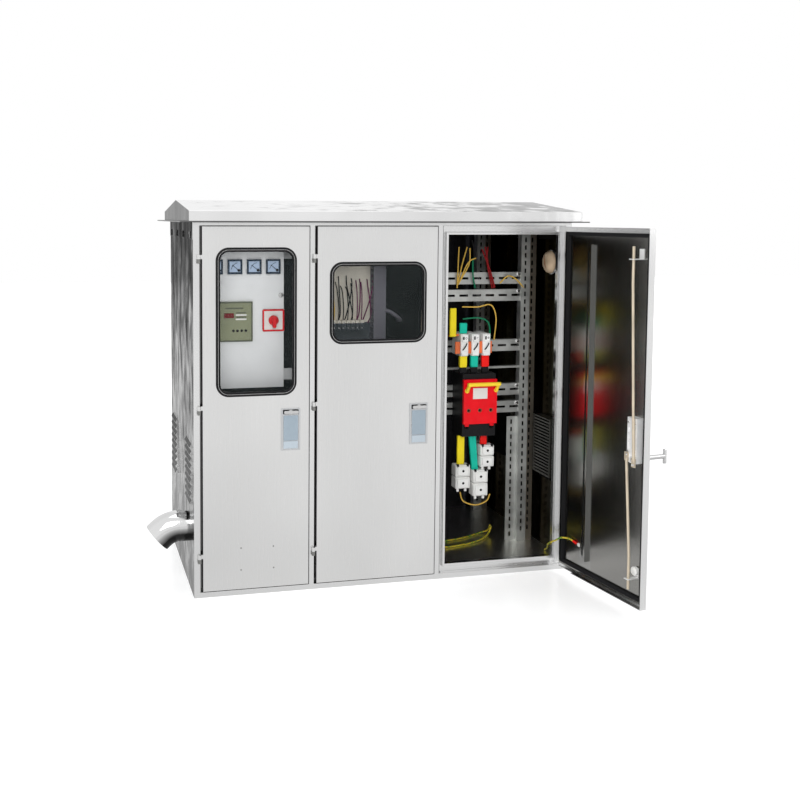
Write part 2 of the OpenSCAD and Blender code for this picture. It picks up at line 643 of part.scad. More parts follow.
// Compartment 1: the instrument panel behind the tall window, and what it carries
ip_right = room_1[0] + 320;
ip_z = [body_h - 566, body_h - 66];
module instrument_panel() color("whitesmoke") union() {
    slab([room_1[0], ip_right], [panel_y, panel_y + sheet], ip_z);
    slab([ip_right - sheet, ip_right], [panel_y, panel_y + 30], ip_z);
    slab([room_1[0], room_1[0] + sheet], [panel_y, panel_y + 30], ip_z);
    for (z = [ip_z[0] + 20, ip_z[1] - 60])
        slab([ip_right - sheet, room_1[1]], [panel_y + 28, panel_y + 30], [z, z + 40]);
}
meter_w = 50;
meter_pitch = 66;
meter_x = room_1[0] + 84;
meter_z = ip_z[1] - 85;
module panel_meters() color("midnightblue") for (i = [0:3]) translate([meter_x + i * meter_pitch, panel_y, meter_z])
    difference() {
        slab([-meter_w / 2, meter_w / 2], [-8, 0], [-meter_w / 2, meter_w / 2]);
        slab([-meter_w / 2 + 4, meter_w / 2 - 4], [-9, -5], [-meter_w / 2 + 4, meter_w / 2 - 4]);
    }
ctrl_w = 136;
ctrl_x = room_1[0] + 142;
ctrl_z = ip_z[1] - 271;
module power_controller() color("darkseagreen") translate([ctrl_x, panel_y, ctrl_z]) union() {
    difference() {
        slab([-ctrl_w / 2, ctrl_w / 2], [-9, 0], [-ctrl_w / 2, ctrl_w / 2]);
        slab([-ctrl_w / 2 + 5, ctrl_w / 2 - 5], [-10, -7], [-ctrl_w / 2 + 5, ctrl_w / 2 - 5]);
        slab([-30, 5], [-8, -5], [12, 29.5]);
    }
    for (i = [0:3]) translate([2 + i * 14.2, 0, -31]) along_y(4, -8.5, -6);
}
knob_x = room_1[0] + 283;
knob_z = ip_z[1] - 269;
plate_w = 76;
module switch_plate() color("crimson") translate([knob_x, panel_y, knob_z]) difference() {
    slab([-plate_w / 2, plate_w / 2], [-4, 0], [-plate_w / 2, plate_w / 2]);
    slab([-plate_w / 2 + 5, plate_w / 2 - 5], [-5, -3], [-plate_w / 2 + 5, plate_w / 2 - 5]);
    along_y(4 + run_clear, -5, 1);
}
module switch_knob() color("red") translate([knob_x, panel_y, knob_z]) union() {
    along_y(4, -12, -0.5);
    along_y(17, -14, -3.4);
    slab([-6, 6], [-28, -13], [-16, 12]);
    for (z = [-16, 12]) translate([0, 0, z]) along_y(6, -28, -13);
}

// Compartment 2: the board behind the wide window, with its terminal strip, and the duct on it
board_y = front + 200;
board_z = [body_h - 616, body_h - 41];
board_w = 320;
board_t = 8;
term_n = 8;
term_z = body_h - 368;
module meter_board() color("tan") union() {
    slab([room_2[0], room_2[0] + board_w], [board_y, board_y + board_t], board_z);
    for (z = [board_z[0] + 10, board_z[1] - 30])
        slab(room_2, [board_y + board_t, board_y + board_t + 20], [z, z + 20]);
    for (i = [0:term_n - 1]) translate([room_2[0] + 105 + i * 17, board_y, term_z]) difference() {
        slab([-7, 7], [-32, 0], [-18, 18]);
        translate([0, 0, 9]) along_y(3, -33, -26);
        translate([0, 0, -9]) along_y(3, -33, -26);
    }
}
duct_x = room_2[0] + 262;
duct_w = 46;
duct_deep = 44;
duct_slot = 8;
module wiring_duct() color("slategray") translate([duct_x, board_y, 0]) difference() {
    slab([0, duct_w], [-duct_deep, 0], [board_z[0] + 10, board_z[1] - 10]);
    slab([2, duct_w - 2], [-duct_deep + 2, -2], [board_z[0] + 9, board_z[1] - 9]);
    for (i = [0:26]) slab([-1, duct_w + 1], [-duct_deep + 6, -10],
        [board_z[0] + 20 + i * 20, board_z[0] + 20 + i * 20 + duct_slot]);
}

// Compartment 3: posts of stepped section with rows of slots, and slotted rails between them
step_deep = 14;
post_x = [room_3[0] + 10, in_right - 86];
post_y = [rail_y - 5, in_back - 60];
post_slot = [7, 17];
post_pitch = 29;
module post_section() {
    translate([0, 0]) square([post_w, sheet]);
    translate([0, 0]) square([sheet, 32]);
    translate([post_w - sheet, 0]) square([sheet, step_deep]);
    translate([post_w - sheet, step_deep - sheet]) square([post_w, sheet]);
    translate([2 * post_w - 2 * sheet, step_deep - sheet]) square([sheet, 20]);
}
module post() difference() {
    translate([0, 0, floor_h]) linear_extrude(height = body_h - floor_h) post_section();
    for (i = [0:floor((body_h - floor_h - 80) / post_pitch)]) for (x = [0.5 * post_w, 1.5 * post_w - sheet])
        slab([x - post_slot[0] / 2, x + post_slot[0] / 2], [-1, step_deep + 1],
            [floor_h + 40 + i * post_pitch, floor_h + 40 + i * post_pitch + post_slot[1]]);
}
low_strip_w = 40;
low_strip_h = 480;
module slotted_posts() color("darkgray") {
    for (y = post_y) {
        translate([post_x[1], y, 0]) post();
        translate([post_x[0] + post_w, y, 0]) mirror([1, 0, 0]) translate([0, 0, 0]) post_left();
    }
    translate([post_x[1], post_y[0], 0]) difference() {
        slab([-low_strip_w, 0], [18, 18 + sheet], [floor_h, floor_h + low_strip_h]);
        for (i = [0:15]) slab([-25, -18], [17, 19 + sheet], [floor_h + 16 + i * post_pitch, floor_h + 33 + i * post_pitch]);
    }
}
module post_left() difference() {
    translate([0, 0, floor_h]) linear_extrude(height = body_h - floor_h) {
        square([post_w, sheet]);
        square([sheet, 32]);
        translate([post_w - sheet, 0]) square([sheet, 32]);
    }
    for (i = [0:floor((body_h - floor_h - 80) / post_pitch)])
        slab([0.5 * post_w - post_slot[0] / 2, 0.5 * post_w + post_slot[0] / 2], [-1, sheet + 1],
            [floor_h + 40 + i * post_pitch, floor_h + 40 + i * post_pitch + post_slot[1]]);
}
rail_pitch = 52;
rail_deep = 24;
rail_x = [post_x[0] + post_w, post_x[1]];
module rail(z, h) translate([0, rail_y, z]) difference() {
    slab(rail_x, [0, rail_deep], [-h / 2, h / 2]);
    slab([rail_x[0] - 1, rail_x[1] + 1], [sheet, rail_deep + 1], [-h / 2 + sheet, h / 2 - sheet]);
    for (i = [0:floor((rail_x[1] - rail_x[0] - 40) / rail_pitch)])
        slab([rail_x[0] + 12 + i * rail_pitch, rail_x[0] + 46 + i * rail_pitch], [-1, sheet + 1], [-4, 4]);
}
module slotted_rails() color("darkgray") {
    for (z = rail_zs) rail(z, rail_h);
    slab(rail_x, [rail_y, rail_y + 20], [rail_zs[3] + 81, rail_zs[3] + 89]);
}

// The fuse switch: a base with three wells, a cover hinged at its lower edge, and its handle
switch_deep = 97;
cover_t = 13;
cover_low = 48;
well = [34, 150, 78];
link_d = 26;
link_z = switch_z + 133;
sw_front = rail_y - switch_deep;
hinge_low_z = switch_z + cover_low - 4;
tab_w = 24;
module fuse_switch_base() color("black") {
    difference() {
        slab([switch_left, switch_left + switch_w], [sw_front, rail_y], [switch_z, switch_z + switch_h]);
        for (x = phase_x) slab([x - well[0] / 2, x + well[0] / 2], [sw_front - 1, sw_front + well[2]],
            [switch_z + 58, switch_z + 58 + well[1]]);
        translate([0, sw_front, hinge_low_z]) {
            slab([switch_left + 8, switch_left + 24], [-1, 12], [-15, 9]);
            slab([switch_left + switch_w - 24, switch_left + switch_w - 8], [-1, 12], [-15, 9]);
        }
    }
    for (x = [switch_left + 8, switch_left + switch_w - 24]) translate([0, sw_front + 2, hinge_low_z])
        along_x(2.5, x, x + 16);
    for (x = phase_x) for (z = [link_z - 56, link_z + 42]) for (side = [-6.5, 3.5])
        slab([x + side, x + side + 3], [sw_front + 18, sw_front + well[2]], [z, z + 18]);
}
cover_z = [switch_z + cover_low, switch_z + switch_h - 19];
hole_z = switch_z + 98;
module fuse_switch_cover() color("red") difference() {
    union() {
        slab([switch_left, switch_left + switch_w], [sw_front - touch - cover_t, sw_front - touch], cover_z);
        for (x = [switch_left + 9, switch_left + switch_w - 23]) translate([x, sw_front + 2, hinge_low_z]) {
            along_x(5.5, 0, 14);
            slab([0, 14], [-2 - touch - 6, 0], [-5.5, 5.5]);
            slab([0, 14], [-2 - touch - 8, -2 - touch], [-5.5, 12]);
        }
    }
    for (x = [switch_left + 9, switch_left + switch_w - 23]) translate([0, sw_front + 2, hinge_low_z])
        along_x(2.5 + run_clear, x - 1, x + 15);
    for (x = phase_x) translate([x - 2, 0, hole_z]) along_y(5, sw_front - touch - cover_t - 1, sw_front - touch - 4);
    slab([switch_left + switch_w / 2 - 30, switch_left + switch_w / 2 + 28],
        [sw_front - touch - cover_t - 1, sw_front - touch - cover_t + 1], [switch_z + 139, switch_z + 181]);
}
grip_d = 13;
grip_out = 26;
grip_up = 26;
grip_foot = switch_z + 171;
module fuse_switch_handle() color("gold") {
    y0 = sw_front - touch - cover_t;
    x0 = switch_left + 11;
    x1 = switch_left + switch_w - 5;
    for (x = [x0, x1]) translate([x, 0, grip_foot]) along_y(8, y0 - 5, y0);
    for (x = [x0, x1]) translate([x, y0 - 4, grip_foot]) rotate([atan2(grip_out - 4, grip_up), 0, 0])
        cylinder(d = grip_d, h = norm([grip_out - 4, grip_up]));
    translate([0, y0 - grip_out, grip_foot + grip_up]) along_x(grip_d / 2 + 0.5, x0 - 6, x1 + 6);
}
module fuse_links() color("wheat") for (x = phase_x) translate([x, sw_front - touch, link_z]) {
    slab([-3, 3], [0, 12], [-26, 26]);
    translate([0, 12 + link_d / 2 - 1, -34]) cylinder(d = link_d, h = 68);
    for (z = [-50, 34]) slab([-2.5, 2.5], [14, 34], [z, z + 16]);
}

// Phase conductors above and below the switch, in insulating sleeves, and what they end in
carrier_z = [rail_zs[2] - 25, rail_zs[2] + 56];
carrier_w = 29;
carrier_y = rail_y - 88;
module fuse_carriers() color("white") {
    for (x = bus_x) difference() {
        slab([x - carrier_w / 2, x + carrier_w / 2], [carrier_y, rail_y], carrier_z);
        slab([x - carrier_w / 2 + 6, x + carrier_w / 2 - 6], [carrier_y - 1, carrier_y + 3], [carrier_z[0] + 24, carrier_z[1] - 20]);
    }
    for (x = [bus_x[0] - 33, bus_x[0] + carrier_w / 2, bus_x[1] + carrier_w / 2])
        slab([x, x + (x < bus_x[0] ? 33 - carrier_w / 2 : phase_pitch - carrier_w)], [carrier_y + 30, carrier_y + 36],
            [carrier_z[0] + 12, carrier_z[0] + 48]);
}
sleeve = [28, 10];
bar_y = carrier_y + 12;
block_y = [carrier_y - 2, carrier_y + 40];
blocks = [[bus_x[0] - 29, bus_x[0] + 27, switch_z - 194, switch_z - 107], [bus_x[1] - 3, bus_x[1] + 54, switch_z - 225, switch_z - 129],
    [bus_x[2] - 19, bus_x[2] + 34, switch_z - 117, switch_z - 37]];
module phase_bars() color("gold") {
    for (x = bus_x) slab([x - sleeve[0] / 2, x + sleeve[0] / 2], [bar_y, bar_y + sleeve[1]], [switch_z + switch_h, carrier_z[0]]);
    slab([bus_x[0] - 53, bus_x[0] - 28], [bar_y, bar_y + sleeve[1]], [carrier_z[0] + 70, carrier_z[0] + 175]);
    slab([bus_x[0] - 53, bus_x[0] - carrier_w / 2], [bar_y + sleeve[1], bar_y + sleeve[1] + 4],
        [carrier_z[0] + 71, carrier_z[0] + 79]);
    slab([bus_x[0] - 14, bus_x[0] + 14], [bar_y, bar_y + sleeve[1]], [carrier_z[1], carrier_z[1] + 39]);
    slab([bus_x[0] - 18, bus_x[0] + 10], [bar_y, bar_y + sleeve[1]], [blocks[0][3], switch_z]);
    rotate([90, 0, 0]) translate([0, 0, -bar_y - sleeve[1]]) linear_extrude(height = sleeve[1])
        polygon([[bus_x[1] - 16, switch_z], [bus_x[1] + 10, switch_z], [bus_x[1] + 21, blocks[1][3]], [bus_x[1] - 3, blocks[1][3]]]);
    slab([bus_x[2] - 14, bus_x[2] + 12], [bar_y, bar_y + sleeve[1]], [blocks[2][3], switch_z]);
}
module terminal_blocks() color("white") for (b = blocks) {
    mid = (b[2] + b[3]) / 2;
    for (z = [[b[2], mid - 1.5], [mid + 1.5, b[3]]]) difference() {
        slab([b[0], b[1]], block_y, z);
        translate([(b[0] + b[1]) / 2, 0, (z[0] + z[1]) / 2]) along_y(5, block_y[0] - 1, block_y[0] + 8);
    }
    slab([b[0] + 8, b[1] - 8], [block_y[0] + 8, block_y[1] - 4], [mid - 1.5, mid + 1.5]);
    for (x = [b[0] + 12, b[1] - 20]) slab([x, x + 8], [block_y[0] + 8, block_y[0] + 14], [b[2] - 12, b[2]]);
}

// The heater with its fins and the lamp, both on the right wall
heater_y = [front + 60, front + 200];
heater_z = [floor_h + 280, floor_h + 495];
fin_n = 18;
fin_pitch = 11.6;
module panel_heater() color("silver") difference() {
    slab([in_right - 34, in_right], heater_y, heater_z);
    for (i = [0:fin_n - 1]) slab([in_right - 35, in_right - 12], [heater_y[0] + 8, heater_y[1] - 8],
        [heater_z[0] + 7 + i * fin_pitch, heater_z[0] + 13 + i * fin_pitch]);
}
lamp_at = [front + 130, body_h - 145];
lamp_r = 47;
module cabin_lamp() color("antiquewhite") translate([in_right, lamp_at[0], lamp_at[1]]) {
    along_x(lamp_r, -12, 0);
    intersection() {
        translate([24, 0, 0]) sphere(r = 59, $fn = 64);
        along_x(lamp_r - 6, -40, -12);
    }
}

// Wires held at both ends, each a list of points along its run
wire_d = 4;
wire_seat = wire_d / 2 + 0.3;
rail_top = rail_zs[0];
w3 = switch_left;
top_3 = body_h - 2;
wires_3 = [
    [[w3 - 20, rail_y - wire_seat, top_3 - 269], [w3 - 20, rail_y - 10, top_3 - 234], [w3 - 6, rail_y - 8, top_3 - 104], [w3 - 4, rail_y - 2, top_3 - 0.5]],
    [[w3 - 4, rail_y - wire_seat, top_3 - 269], [w3 - 2, rail_y - 10, top_3 - 234], [w3 + 18, rail_y - 8, top_3 - 104], [w3 + 20, rail_y - 2, top_3 - 0.5]],
    [[w3 + 14, rail_y - wire_seat, top_3 - 269], [w3 + 16, rail_y - 10, top_3 - 234], [w3 + 50, rail_y - 8, top_3 - 114], [w3 + 36, rail_y - 2, top_3 - 0.5]],
    [[w3 + 118, rail_y - wire_seat, top_3 - 269], [w3 + 120, rail_y - 10, top_3 - 234], [w3 + 90, rail_y - 8, top_3 - 104], [w3 + 104, rail_y - 2, top_3 - 0.5]],
    [[w3 + 136, rail_y - wire_seat, top_3 - 269], [w3 + 136, rail_y - 10, top_3 - 234], [w3 + 116, rail_y - 8, top_3 - 94], [w3 + 124, rail_y - 2, top_3 - 0.5]],
    [[w3 + 170, rail_y - wire_seat, top_3 - 194], [w3 + 190, rail_y - 10, top_3 - 180], [w3 + 240, rail_y - 10, top_3 - 188], [w3 + 262, rail_y - wire_seat, top_3 - 204]]
];
loops_3 = [
    [[bus_x[0] - 32, bar_y + 4, carrier_z[0] + 175 + wire_seat], [bus_x[1] + 10, bar_y + 2, carrier_z[0] + 187], [bus_x[2] + 36, bar_y + 10, carrier_z[0] + 180],
        [bus_x[2] + 50, bar_y + 40, carrier_z[0] + 110], [bus_x[2] + 52, rail_y - wire_seat, carrier_z[0] + 36]],
    [[bus_x[0] + 6, bar_y + 4, carrier_z[1] + 39 + wire_seat], [bus_x[1], bar_y, carrier_z[0] + 138], [bus_x[2] + 8, bar_y + 4, carrier_z[0] + 126],
        [bus_x[2] + 8, bar_y + 14, carrier_z[1] + 0.8]]
];
b2 = room_2[0];
fan_2 = [for (i = [0:term_n - 1]) [[b2 + 105 + i * 17, board_y - 20, term_z + 18.8], [b2 + 104 + i * 17, board_y - 30, term_z + 62],
    [b2 + 98 + i * 18, board_y - 24, term_z + 117], [b2 + 94 + i * 19, board_y - wire_seat - 0.1, term_z + 147 + 12 * sin(i * 73)]]];
module control_wires() color("olive") {
    for (r = wires_3) tube(r, wire_d);
    for (r = loops_3) tube(r, wire_d);
    for (r = fan_2) tube(r, wire_d);
}
floor_w = floor_h + 4.6;
earths = [
    [[room_3[0] + 3.4, -36, floor_w + 16], [room_3[0] + 90, -80, floor_w], [room_3[0] + 200, -70, floor_w], [room_3[0] + 300, -20, floor_w],
        [room_3[0] + 330, -30, floor_w + 12], [room_3[0] + 326, -60, floor_w + 40]],
    [[room_3[0] + 3.4, -146, floor_w + 10], [room_3[0] + 110, -156, floor_w], [room_3[0] + 240, -120, floor_w], [room_3[0] + 316, -60, floor_w + 4],
        [room_3[0] + 340, -40, floor_w + 30]]
];
module earth_wires() color("goldenrod") for (r = earths) tube(r, 6, 4, 8);

// The earth lead from a stud on the floor to a lug on the open door
function door_3_at(x, y, z) = let (u = -pin_out - x, v = pin_front - door_proud + y)
    [pins[2] + u * cos(open_angle) - v * sin(open_angle), pin_ys + u * sin(open_angle) + v * cos(open_angle), z];
lead_r = 3;
lead_z = floor_h + lead_r + 0.2;
module bonding_lead() color("goldenrod") tube([[in_right - 29, front + 95, lead_z], [in_right - 33, front + 66, lead_z + 16],
    [in_right - 47, front + 38, lead_z + 38], [in_right - 53, front + 2, lead_z + 58],
    door_3_at(2, 30, lead_z + 74), door_3_at(22, 22, lead_z + 88), door_3_at(48, 13, lead_z + 93),
    door_3_at(72, 8, lead_z + 91), door_3_at(89, sheet + lead_r + 0.2, lead_z + 85.5)], 2 * lead_r, 3, 8);

base_frame();
front_frame();
left_side_panel();
right_side_panel();
back_panel();
partitions();
top_plate();
roof_cover();
cable_outlet();
frame_hinge_pins();
instrument_panel();
panel_meters();
power_controller();
switch_plate();
switch_knob();
meter_board();
wiring_duct();
slotted_posts();
slotted_rails();
fuse_switch_base();
fuse_switch_cover();
fuse_switch_handle();
fuse_links();
fuse_carriers();
phase_bars();
terminal_blocks();
panel_heater();
cabin_lamp();
control_wires();
earth_wires();
bonding_lead();
door_1_shell();
door_1_seal();
door_1_window_gasket();
door_1_window_pane();
door_1_lock_plate();
door_1_lock_case();
door_1_lock_cam();
door_1_handle();
door_1_upper_rod();
door_1_lower_rod();
door_2_shell();
door_2_seal();
door_2_window_gasket();
door_2_window_pane();
door_2_lock_plate();
door_2_lock_case();
door_2_lock_cam();
door_2_handle();
door_2_upper_rod();
door_2_lower_rod();
door_3_shell();
door_3_seal();
door_3_lock_plate();
door_3_lock_case();
door_3_lock_cam();
door_3_handle();
door_3_upper_rod();
door_3_lower_rod();
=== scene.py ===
"""Looks of the three-door stainless distribution box. Lengths in the helpers are millimetres."""
import math

import bmesh
import bpy
import numpy as np
from mathutils import Matrix


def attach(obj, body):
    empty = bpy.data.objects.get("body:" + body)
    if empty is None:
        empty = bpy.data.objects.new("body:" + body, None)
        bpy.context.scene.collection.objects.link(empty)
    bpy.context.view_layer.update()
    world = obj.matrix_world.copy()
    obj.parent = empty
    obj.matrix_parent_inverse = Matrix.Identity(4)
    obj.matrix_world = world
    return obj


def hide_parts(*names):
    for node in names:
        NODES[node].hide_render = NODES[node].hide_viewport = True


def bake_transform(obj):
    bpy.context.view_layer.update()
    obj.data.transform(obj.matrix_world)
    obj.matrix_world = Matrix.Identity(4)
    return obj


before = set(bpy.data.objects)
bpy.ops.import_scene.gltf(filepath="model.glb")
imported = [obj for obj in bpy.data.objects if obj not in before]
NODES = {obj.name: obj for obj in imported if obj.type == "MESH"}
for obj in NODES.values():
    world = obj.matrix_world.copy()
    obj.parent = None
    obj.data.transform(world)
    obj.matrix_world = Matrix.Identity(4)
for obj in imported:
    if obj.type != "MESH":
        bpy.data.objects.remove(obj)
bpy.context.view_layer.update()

# Camera at the photograph's viewpoint, solved from the box's corners in it
PICTURE = 800
FOCAL = 1024.80
CENTRE = (300.0, 288.62)
EYE = (-1.09209, -3.68609, 1.27648)
yaw, pitch, roll = 0.2286, 0.0706, 0.0032
look = np.array([math.sin(yaw) * math.cos(pitch), math.cos(yaw) * math.cos(pitch), -math.sin(pitch)])
side = np.array([math.cos(yaw), -math.sin(yaw), 0.0])
over = np.cross(side, look)
side, over = (math.cos(roll) * side + math.sin(roll) * over,
              math.cos(roll) * over - math.sin(roll) * side)
lens = bpy.data.cameras.new("camera")
camera = bpy.data.objects.new("camera", lens)
bpy.context.scene.collection.objects.link(camera)
place = np.eye(4)
place[:3, 0], place[:3, 1], place[:3, 2] = side, over, -look
place[:3, 3] = EYE
camera.matrix_world = Matrix(place.tolist())
lens.sensor_width = 36.0
lens.lens = FOCAL / PICTURE * lens.sensor_width
lens.shift_x = (PICTURE / 2 - CENTRE[0]) / PICTURE
lens.shift_y = (CENTRE[1] - PICTURE / 2) / PICTURE
lens.clip_end = 60
bpy.context.scene.camera = camera

# Sizes shared with the box's construction: door k's hinge side, width and the lock's distance from its free
# side stand at place k - 1
DOOR_FACE = -352.0
DOOR_LOW = 21.0
DOOR_HIGH = 1242.0
DOOR_X = (-645.0, -255.0, 645.0)
DOOR_W = (361.0, 426.0, 451.0)
LOCK_IN = (63.5, 63.5, 52.0)
LOCK_Z = 560.0
AXIS_OFF = 59.0
PIN_3 = (657.5, -357.0)
OPEN_3 = math.radians(98)


def on_door(k, points):
    """Door coordinates to the box's: doors 1 and 2 shift, door 3 is mirrored in x and turned by its opening
    about its pin, x' = u cos - v sin and y' = u sin + v cos of the distances u, v from the pin."""
    p = np.asarray(points, float)
    if k < 3:
        return p + np.array([DOOR_X[k - 1], DOOR_FACE, DOOR_LOW])
    u, v = DOOR_X[2] - p[..., 0] - PIN_3[0], p[..., 1] + DOOR_FACE - PIN_3[1]
    c, s = math.cos(OPEN_3), math.sin(OPEN_3)
    return np.stack([PIN_3[0] + u * c - v * s, PIN_3[1] + u * s + v * c, p[..., 2] + DOOR_LOW], -1)


# Mesh making
def new_piece(name, points, faces, material, body, slot, smooth=0.0, stands_for=()):
    """A piece from an array of points in millimetres and a list of faces, with its normals turned outwards.
    One with no body is left free, to be blended between two."""
    mesh = bpy.data.meshes.new(name)
    metres = np.asarray(points, float).reshape(-1, 3) / 1000.0
    mesh.from_pydata(metres.tolist(), [], [list(map(int, f)) for f in faces])
    bm = bmesh.new()
    bm.from_mesh(mesh)
    bmesh.ops.recalc_face_normals(bm, faces=bm.faces)
    bm.to_mesh(mesh)
    bm.free()
    if smooth:
        mesh.shade_smooth()
        mesh.set_sharp_from_angle(angle=math.radians(smooth))
    piece = bpy.data.objects.new(name, mesh)
    bpy.context.scene.collection.objects.link(piece)
    mesh.materials.append(material)
    if body:
        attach(piece, body)
    for node in stands_for:
        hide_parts(node)
    return piece


def joined(parts):
    """Several (points, faces) pairs as one pair, with the face numbers shifted by the points before them."""
    points, faces, start = [], [], 0
    for p, f in parts:
        p = np.asarray(p, float).reshape(-1, 3)
        points.append(p)
        faces += [[i + start for i in face] for face in f]
        start += len(p)
    return np.concatenate(points), faces


def grid(rows, close_ends=True):
    """A tube of rows: point (i, j) of the array rows, joined to the next along i and round along j, with its
    two ends capped."""
    rows = np.asarray(rows, float)
    n, m = rows.shape[:2]
    i, j = np.meshgrid(np.arange(n - 1), np.arange(m), indexing="ij")
    k = (j + 1) % m
    faces = np.stack([i * m + j, i * m + k, (i + 1) * m + k, (i + 1) * m + j], -1).reshape(-1, 4).tolist()
    if close_ends:
        faces += [list(range(m))[::-1], [(n - 1) * m + q for q in range(m)]]
    return rows.reshape(-1, 3), faces


def loop_rows(rows):
    """A closed ring of rows: as grid, but the last row joins the first, so a profile runs round a frame."""
    rows = np.asarray(rows, float)
    n, m = rows.shape[:2]
    i, j = np.meshgrid(np.arange(n), np.arange(m), indexing="ij")
    a, b = (i + 1) % n, (j + 1) % m
    faces = np.stack([i * m + j, i * m + b, a * m + b, a * m + j], -1).reshape(-1, 4).tolist()
    return rows.reshape(-1, 3), faces


def block(low, high, cut=0.6):
    """A box between two corners with every edge cut back by 45 degrees: each face is shrunk by the cut and
    pushed to its plane. Its corner s, of zeros and ones, gives one point on each of its three faces."""
    low, high = np.asarray(low, float), np.asarray(high, float)
    cut = min(cut, 0.45 * float(np.min(high - low)))
    signs = np.array([[x, y, z] for x in (0, 1) for y in (0, 1) for z in (0, 1)])
    points = []
    for axis in range(3):
        q = np.where(signs == 1, high - cut, low + cut)
        q[:, axis] = np.where(signs[:, axis] == 1, high[axis], low[axis])
        points.append(q)

    def at(axis, s):
        return axis * 8 + s[0] * 4 + s[1] * 2 + s[2]

    faces = []
    ring = [(0, 0), (1, 0), (1, 1), (0, 1)]
    for axis in range(3):
        for e in (0, 1):
            faces.append([at(axis, np.insert(c, axis, e)) for c in ring])
        a, b = [q for q in range(3) if q != axis]
        for ea in (0, 1):
            for eb in (0, 1):
                s0, s1 = np.zeros(3, int), np.zeros(3, int)
                s0[a] = s1[a] = ea
                s0[b] = s1[b] = eb
                s1[axis] = 1
                faces.append([at(a, s0), at(a, s1), at(b, s1), at(b, s0)])
    faces += [[at(0, s), at(1, s), at(2, s)] for s in signs]
    return np.concatenate(points), faces


def rounded(w, h, r, n=6):
    """The outline of a rectangle w by h about the origin with corners of radius r, as quarter circles of n
    steps: corner's centre plus r times the cosine and sine of the angle."""
    r = max(min(r, w / 2, h / 2), 0.01)
    t = np.linspace(0, math.pi / 2, n + 1)
    corners = [(1, 1, 0), (-1, 1, 1), (-1, -1, 2), (1, -1, 3)]
    return np.concatenate([np.stack([sx * (w / 2 - r) + r * np.cos(t + q * math.pi / 2),
                                     sz * (h / 2 - r) + r * np.sin(t + q * math.pi / 2)], -1)
                           for sx, sz, q in corners])


def standing(outline, y):
    """A flat outline stood up in the XZ plane at depth y."""
    return np.stack([outline[:, 0], np.full(len(outline), float(y)), outline[:, 1]], -1)


def plate(w, h, r, y0, y1, cut=0.4, n=6):
    """A rounded plate in the XZ plane from depth y0 to y1 with its two rims cut back, as four rows of one
    outline."""
    rims = ((cut, y0), (0, y0 + cut), (0, y1 - cut), (cut, y1))
    return grid([standing(rounded(w - 2 * inset, h - 2 * inset, r - inset, n), y) for inset, y in rims])


def framed(profile, w, h, r, n=10):
    """A profile carried round a rounded rectangle: row i is the outline grown by the profile's u, at its
    depth y."""
    return loop_rows([standing(rounded(w + 2 * u, h + 2 * u, r + u, n), y) for u, y in profile])


def turned(profile, sides=24, axis=2, about=(0, 0, 0), ends=True):
    """A profile of (radius, height) turned about an axis: radius times the cosine and sine of the angle, with
    closed or open ends."""
    t = np.arange(sides) * 2 * math.pi / sides
    rows = []
    for r, z in profile:
        r = max(r, 0.01)
        p = np.zeros((sides, 3))
        p[:, (axis + 1) % 3] = r * np.cos(t)
        p[:, (axis + 2) % 3] = r * np.sin(t)
        p[:, axis] = z
        rows.append(p + np.asarray(about, float))
    return grid(rows, ends)


def smooth_path(points, steps=5):
    """A smooth run through given points: between b and c a cubic that leaves b along c - a and reaches c
    along d - b, sampled at even steps t."""
    p = np.asarray(points, float)
    q = np.concatenate([2 * p[:1] - p[1:2], p, 2 * p[-1:] - p[-2:-1]])
    t = np.arange(steps)[:, None] / steps
    out = [0.5 * (2 * b + t * (c - a) + t * t * (2 * a - 5 * b + 4 * c - d)
                  + t ** 3 * (3 * b - a - 3 * c + d))
           for a, b, c, d in zip(q[:-3], q[1:-2], q[2:-1], q[3:])]
    return np.concatenate(out + [p[-1:]])


def wire(points, d, steps=5, sides=8):
    """A round wire along a smooth run: circles across the run's direction, each in a frame carried on from
    the last."""
    p = smooth_path(points, steps)
    way = np.gradient(p, axis=0)
    way /= np.linalg.norm(way, axis=1)[:, None]
    u = np.cross(way[0], (0.31, 0.22, 0.93))
    rows, t = [], np.arange(sides) * 2 * math.pi / sides
    for a, w in zip(p, way):
        u = u - w * (u @ w)
        u = u / np.linalg.norm(u)
        v = np.cross(w, u)
        rows.append(a + d / 2 * (np.cos(t)[:, None] * u + np.sin(t)[:, None] * v))
    return grid(rows)


BIG_FACE = 0.0015


def softened(node, width, material, body):
    """A copy of a construction piece with its doubles merged and its edges rounded by a bevel. Faces over
    BIG_FACE, in square metres, are shaded flat, so that long thin triangles don't bend their mirror image."""
    mesh = NODES[node].data.copy()
    mesh.name = node + "_rounded"
    bm = bmesh.new()
    bm.from_mesh(mesh)
    bmesh.ops.remove_doubles(bm, verts=bm.verts, dist=1e-6)
    bmesh.ops.dissolve_limit(bm, angle_limit=math.radians(0.5), verts=bm.verts, edges=bm.edges)
    bm.to_mesh(mesh)
    bm.free()
    mesh.shade_smooth()
    mesh.set_sharp_from_angle(angle=math.radians(35))
    for face in mesh.polygons:
        face.use_smooth = face.area < BIG_FACE
    piece = bpy.data.objects.new(node + "_rounded", mesh)
    bpy.context.scene.collection.objects.link(piece)
    mesh.materials.clear()
    mesh.materials.append(material)
    bevel = piece.modifiers.new("edge", "BEVEL")
    bevel.width = width / 1000.0
    bevel.segments = 2
    bevel.limit_method = "ANGLE"
    bevel.angle_limit = math.radians(40)
    bevel.harden_normals = True
    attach(piece, body)
    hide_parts(node)
    return piece


# Finishes
SETTINGS = ("operation", "data_type")


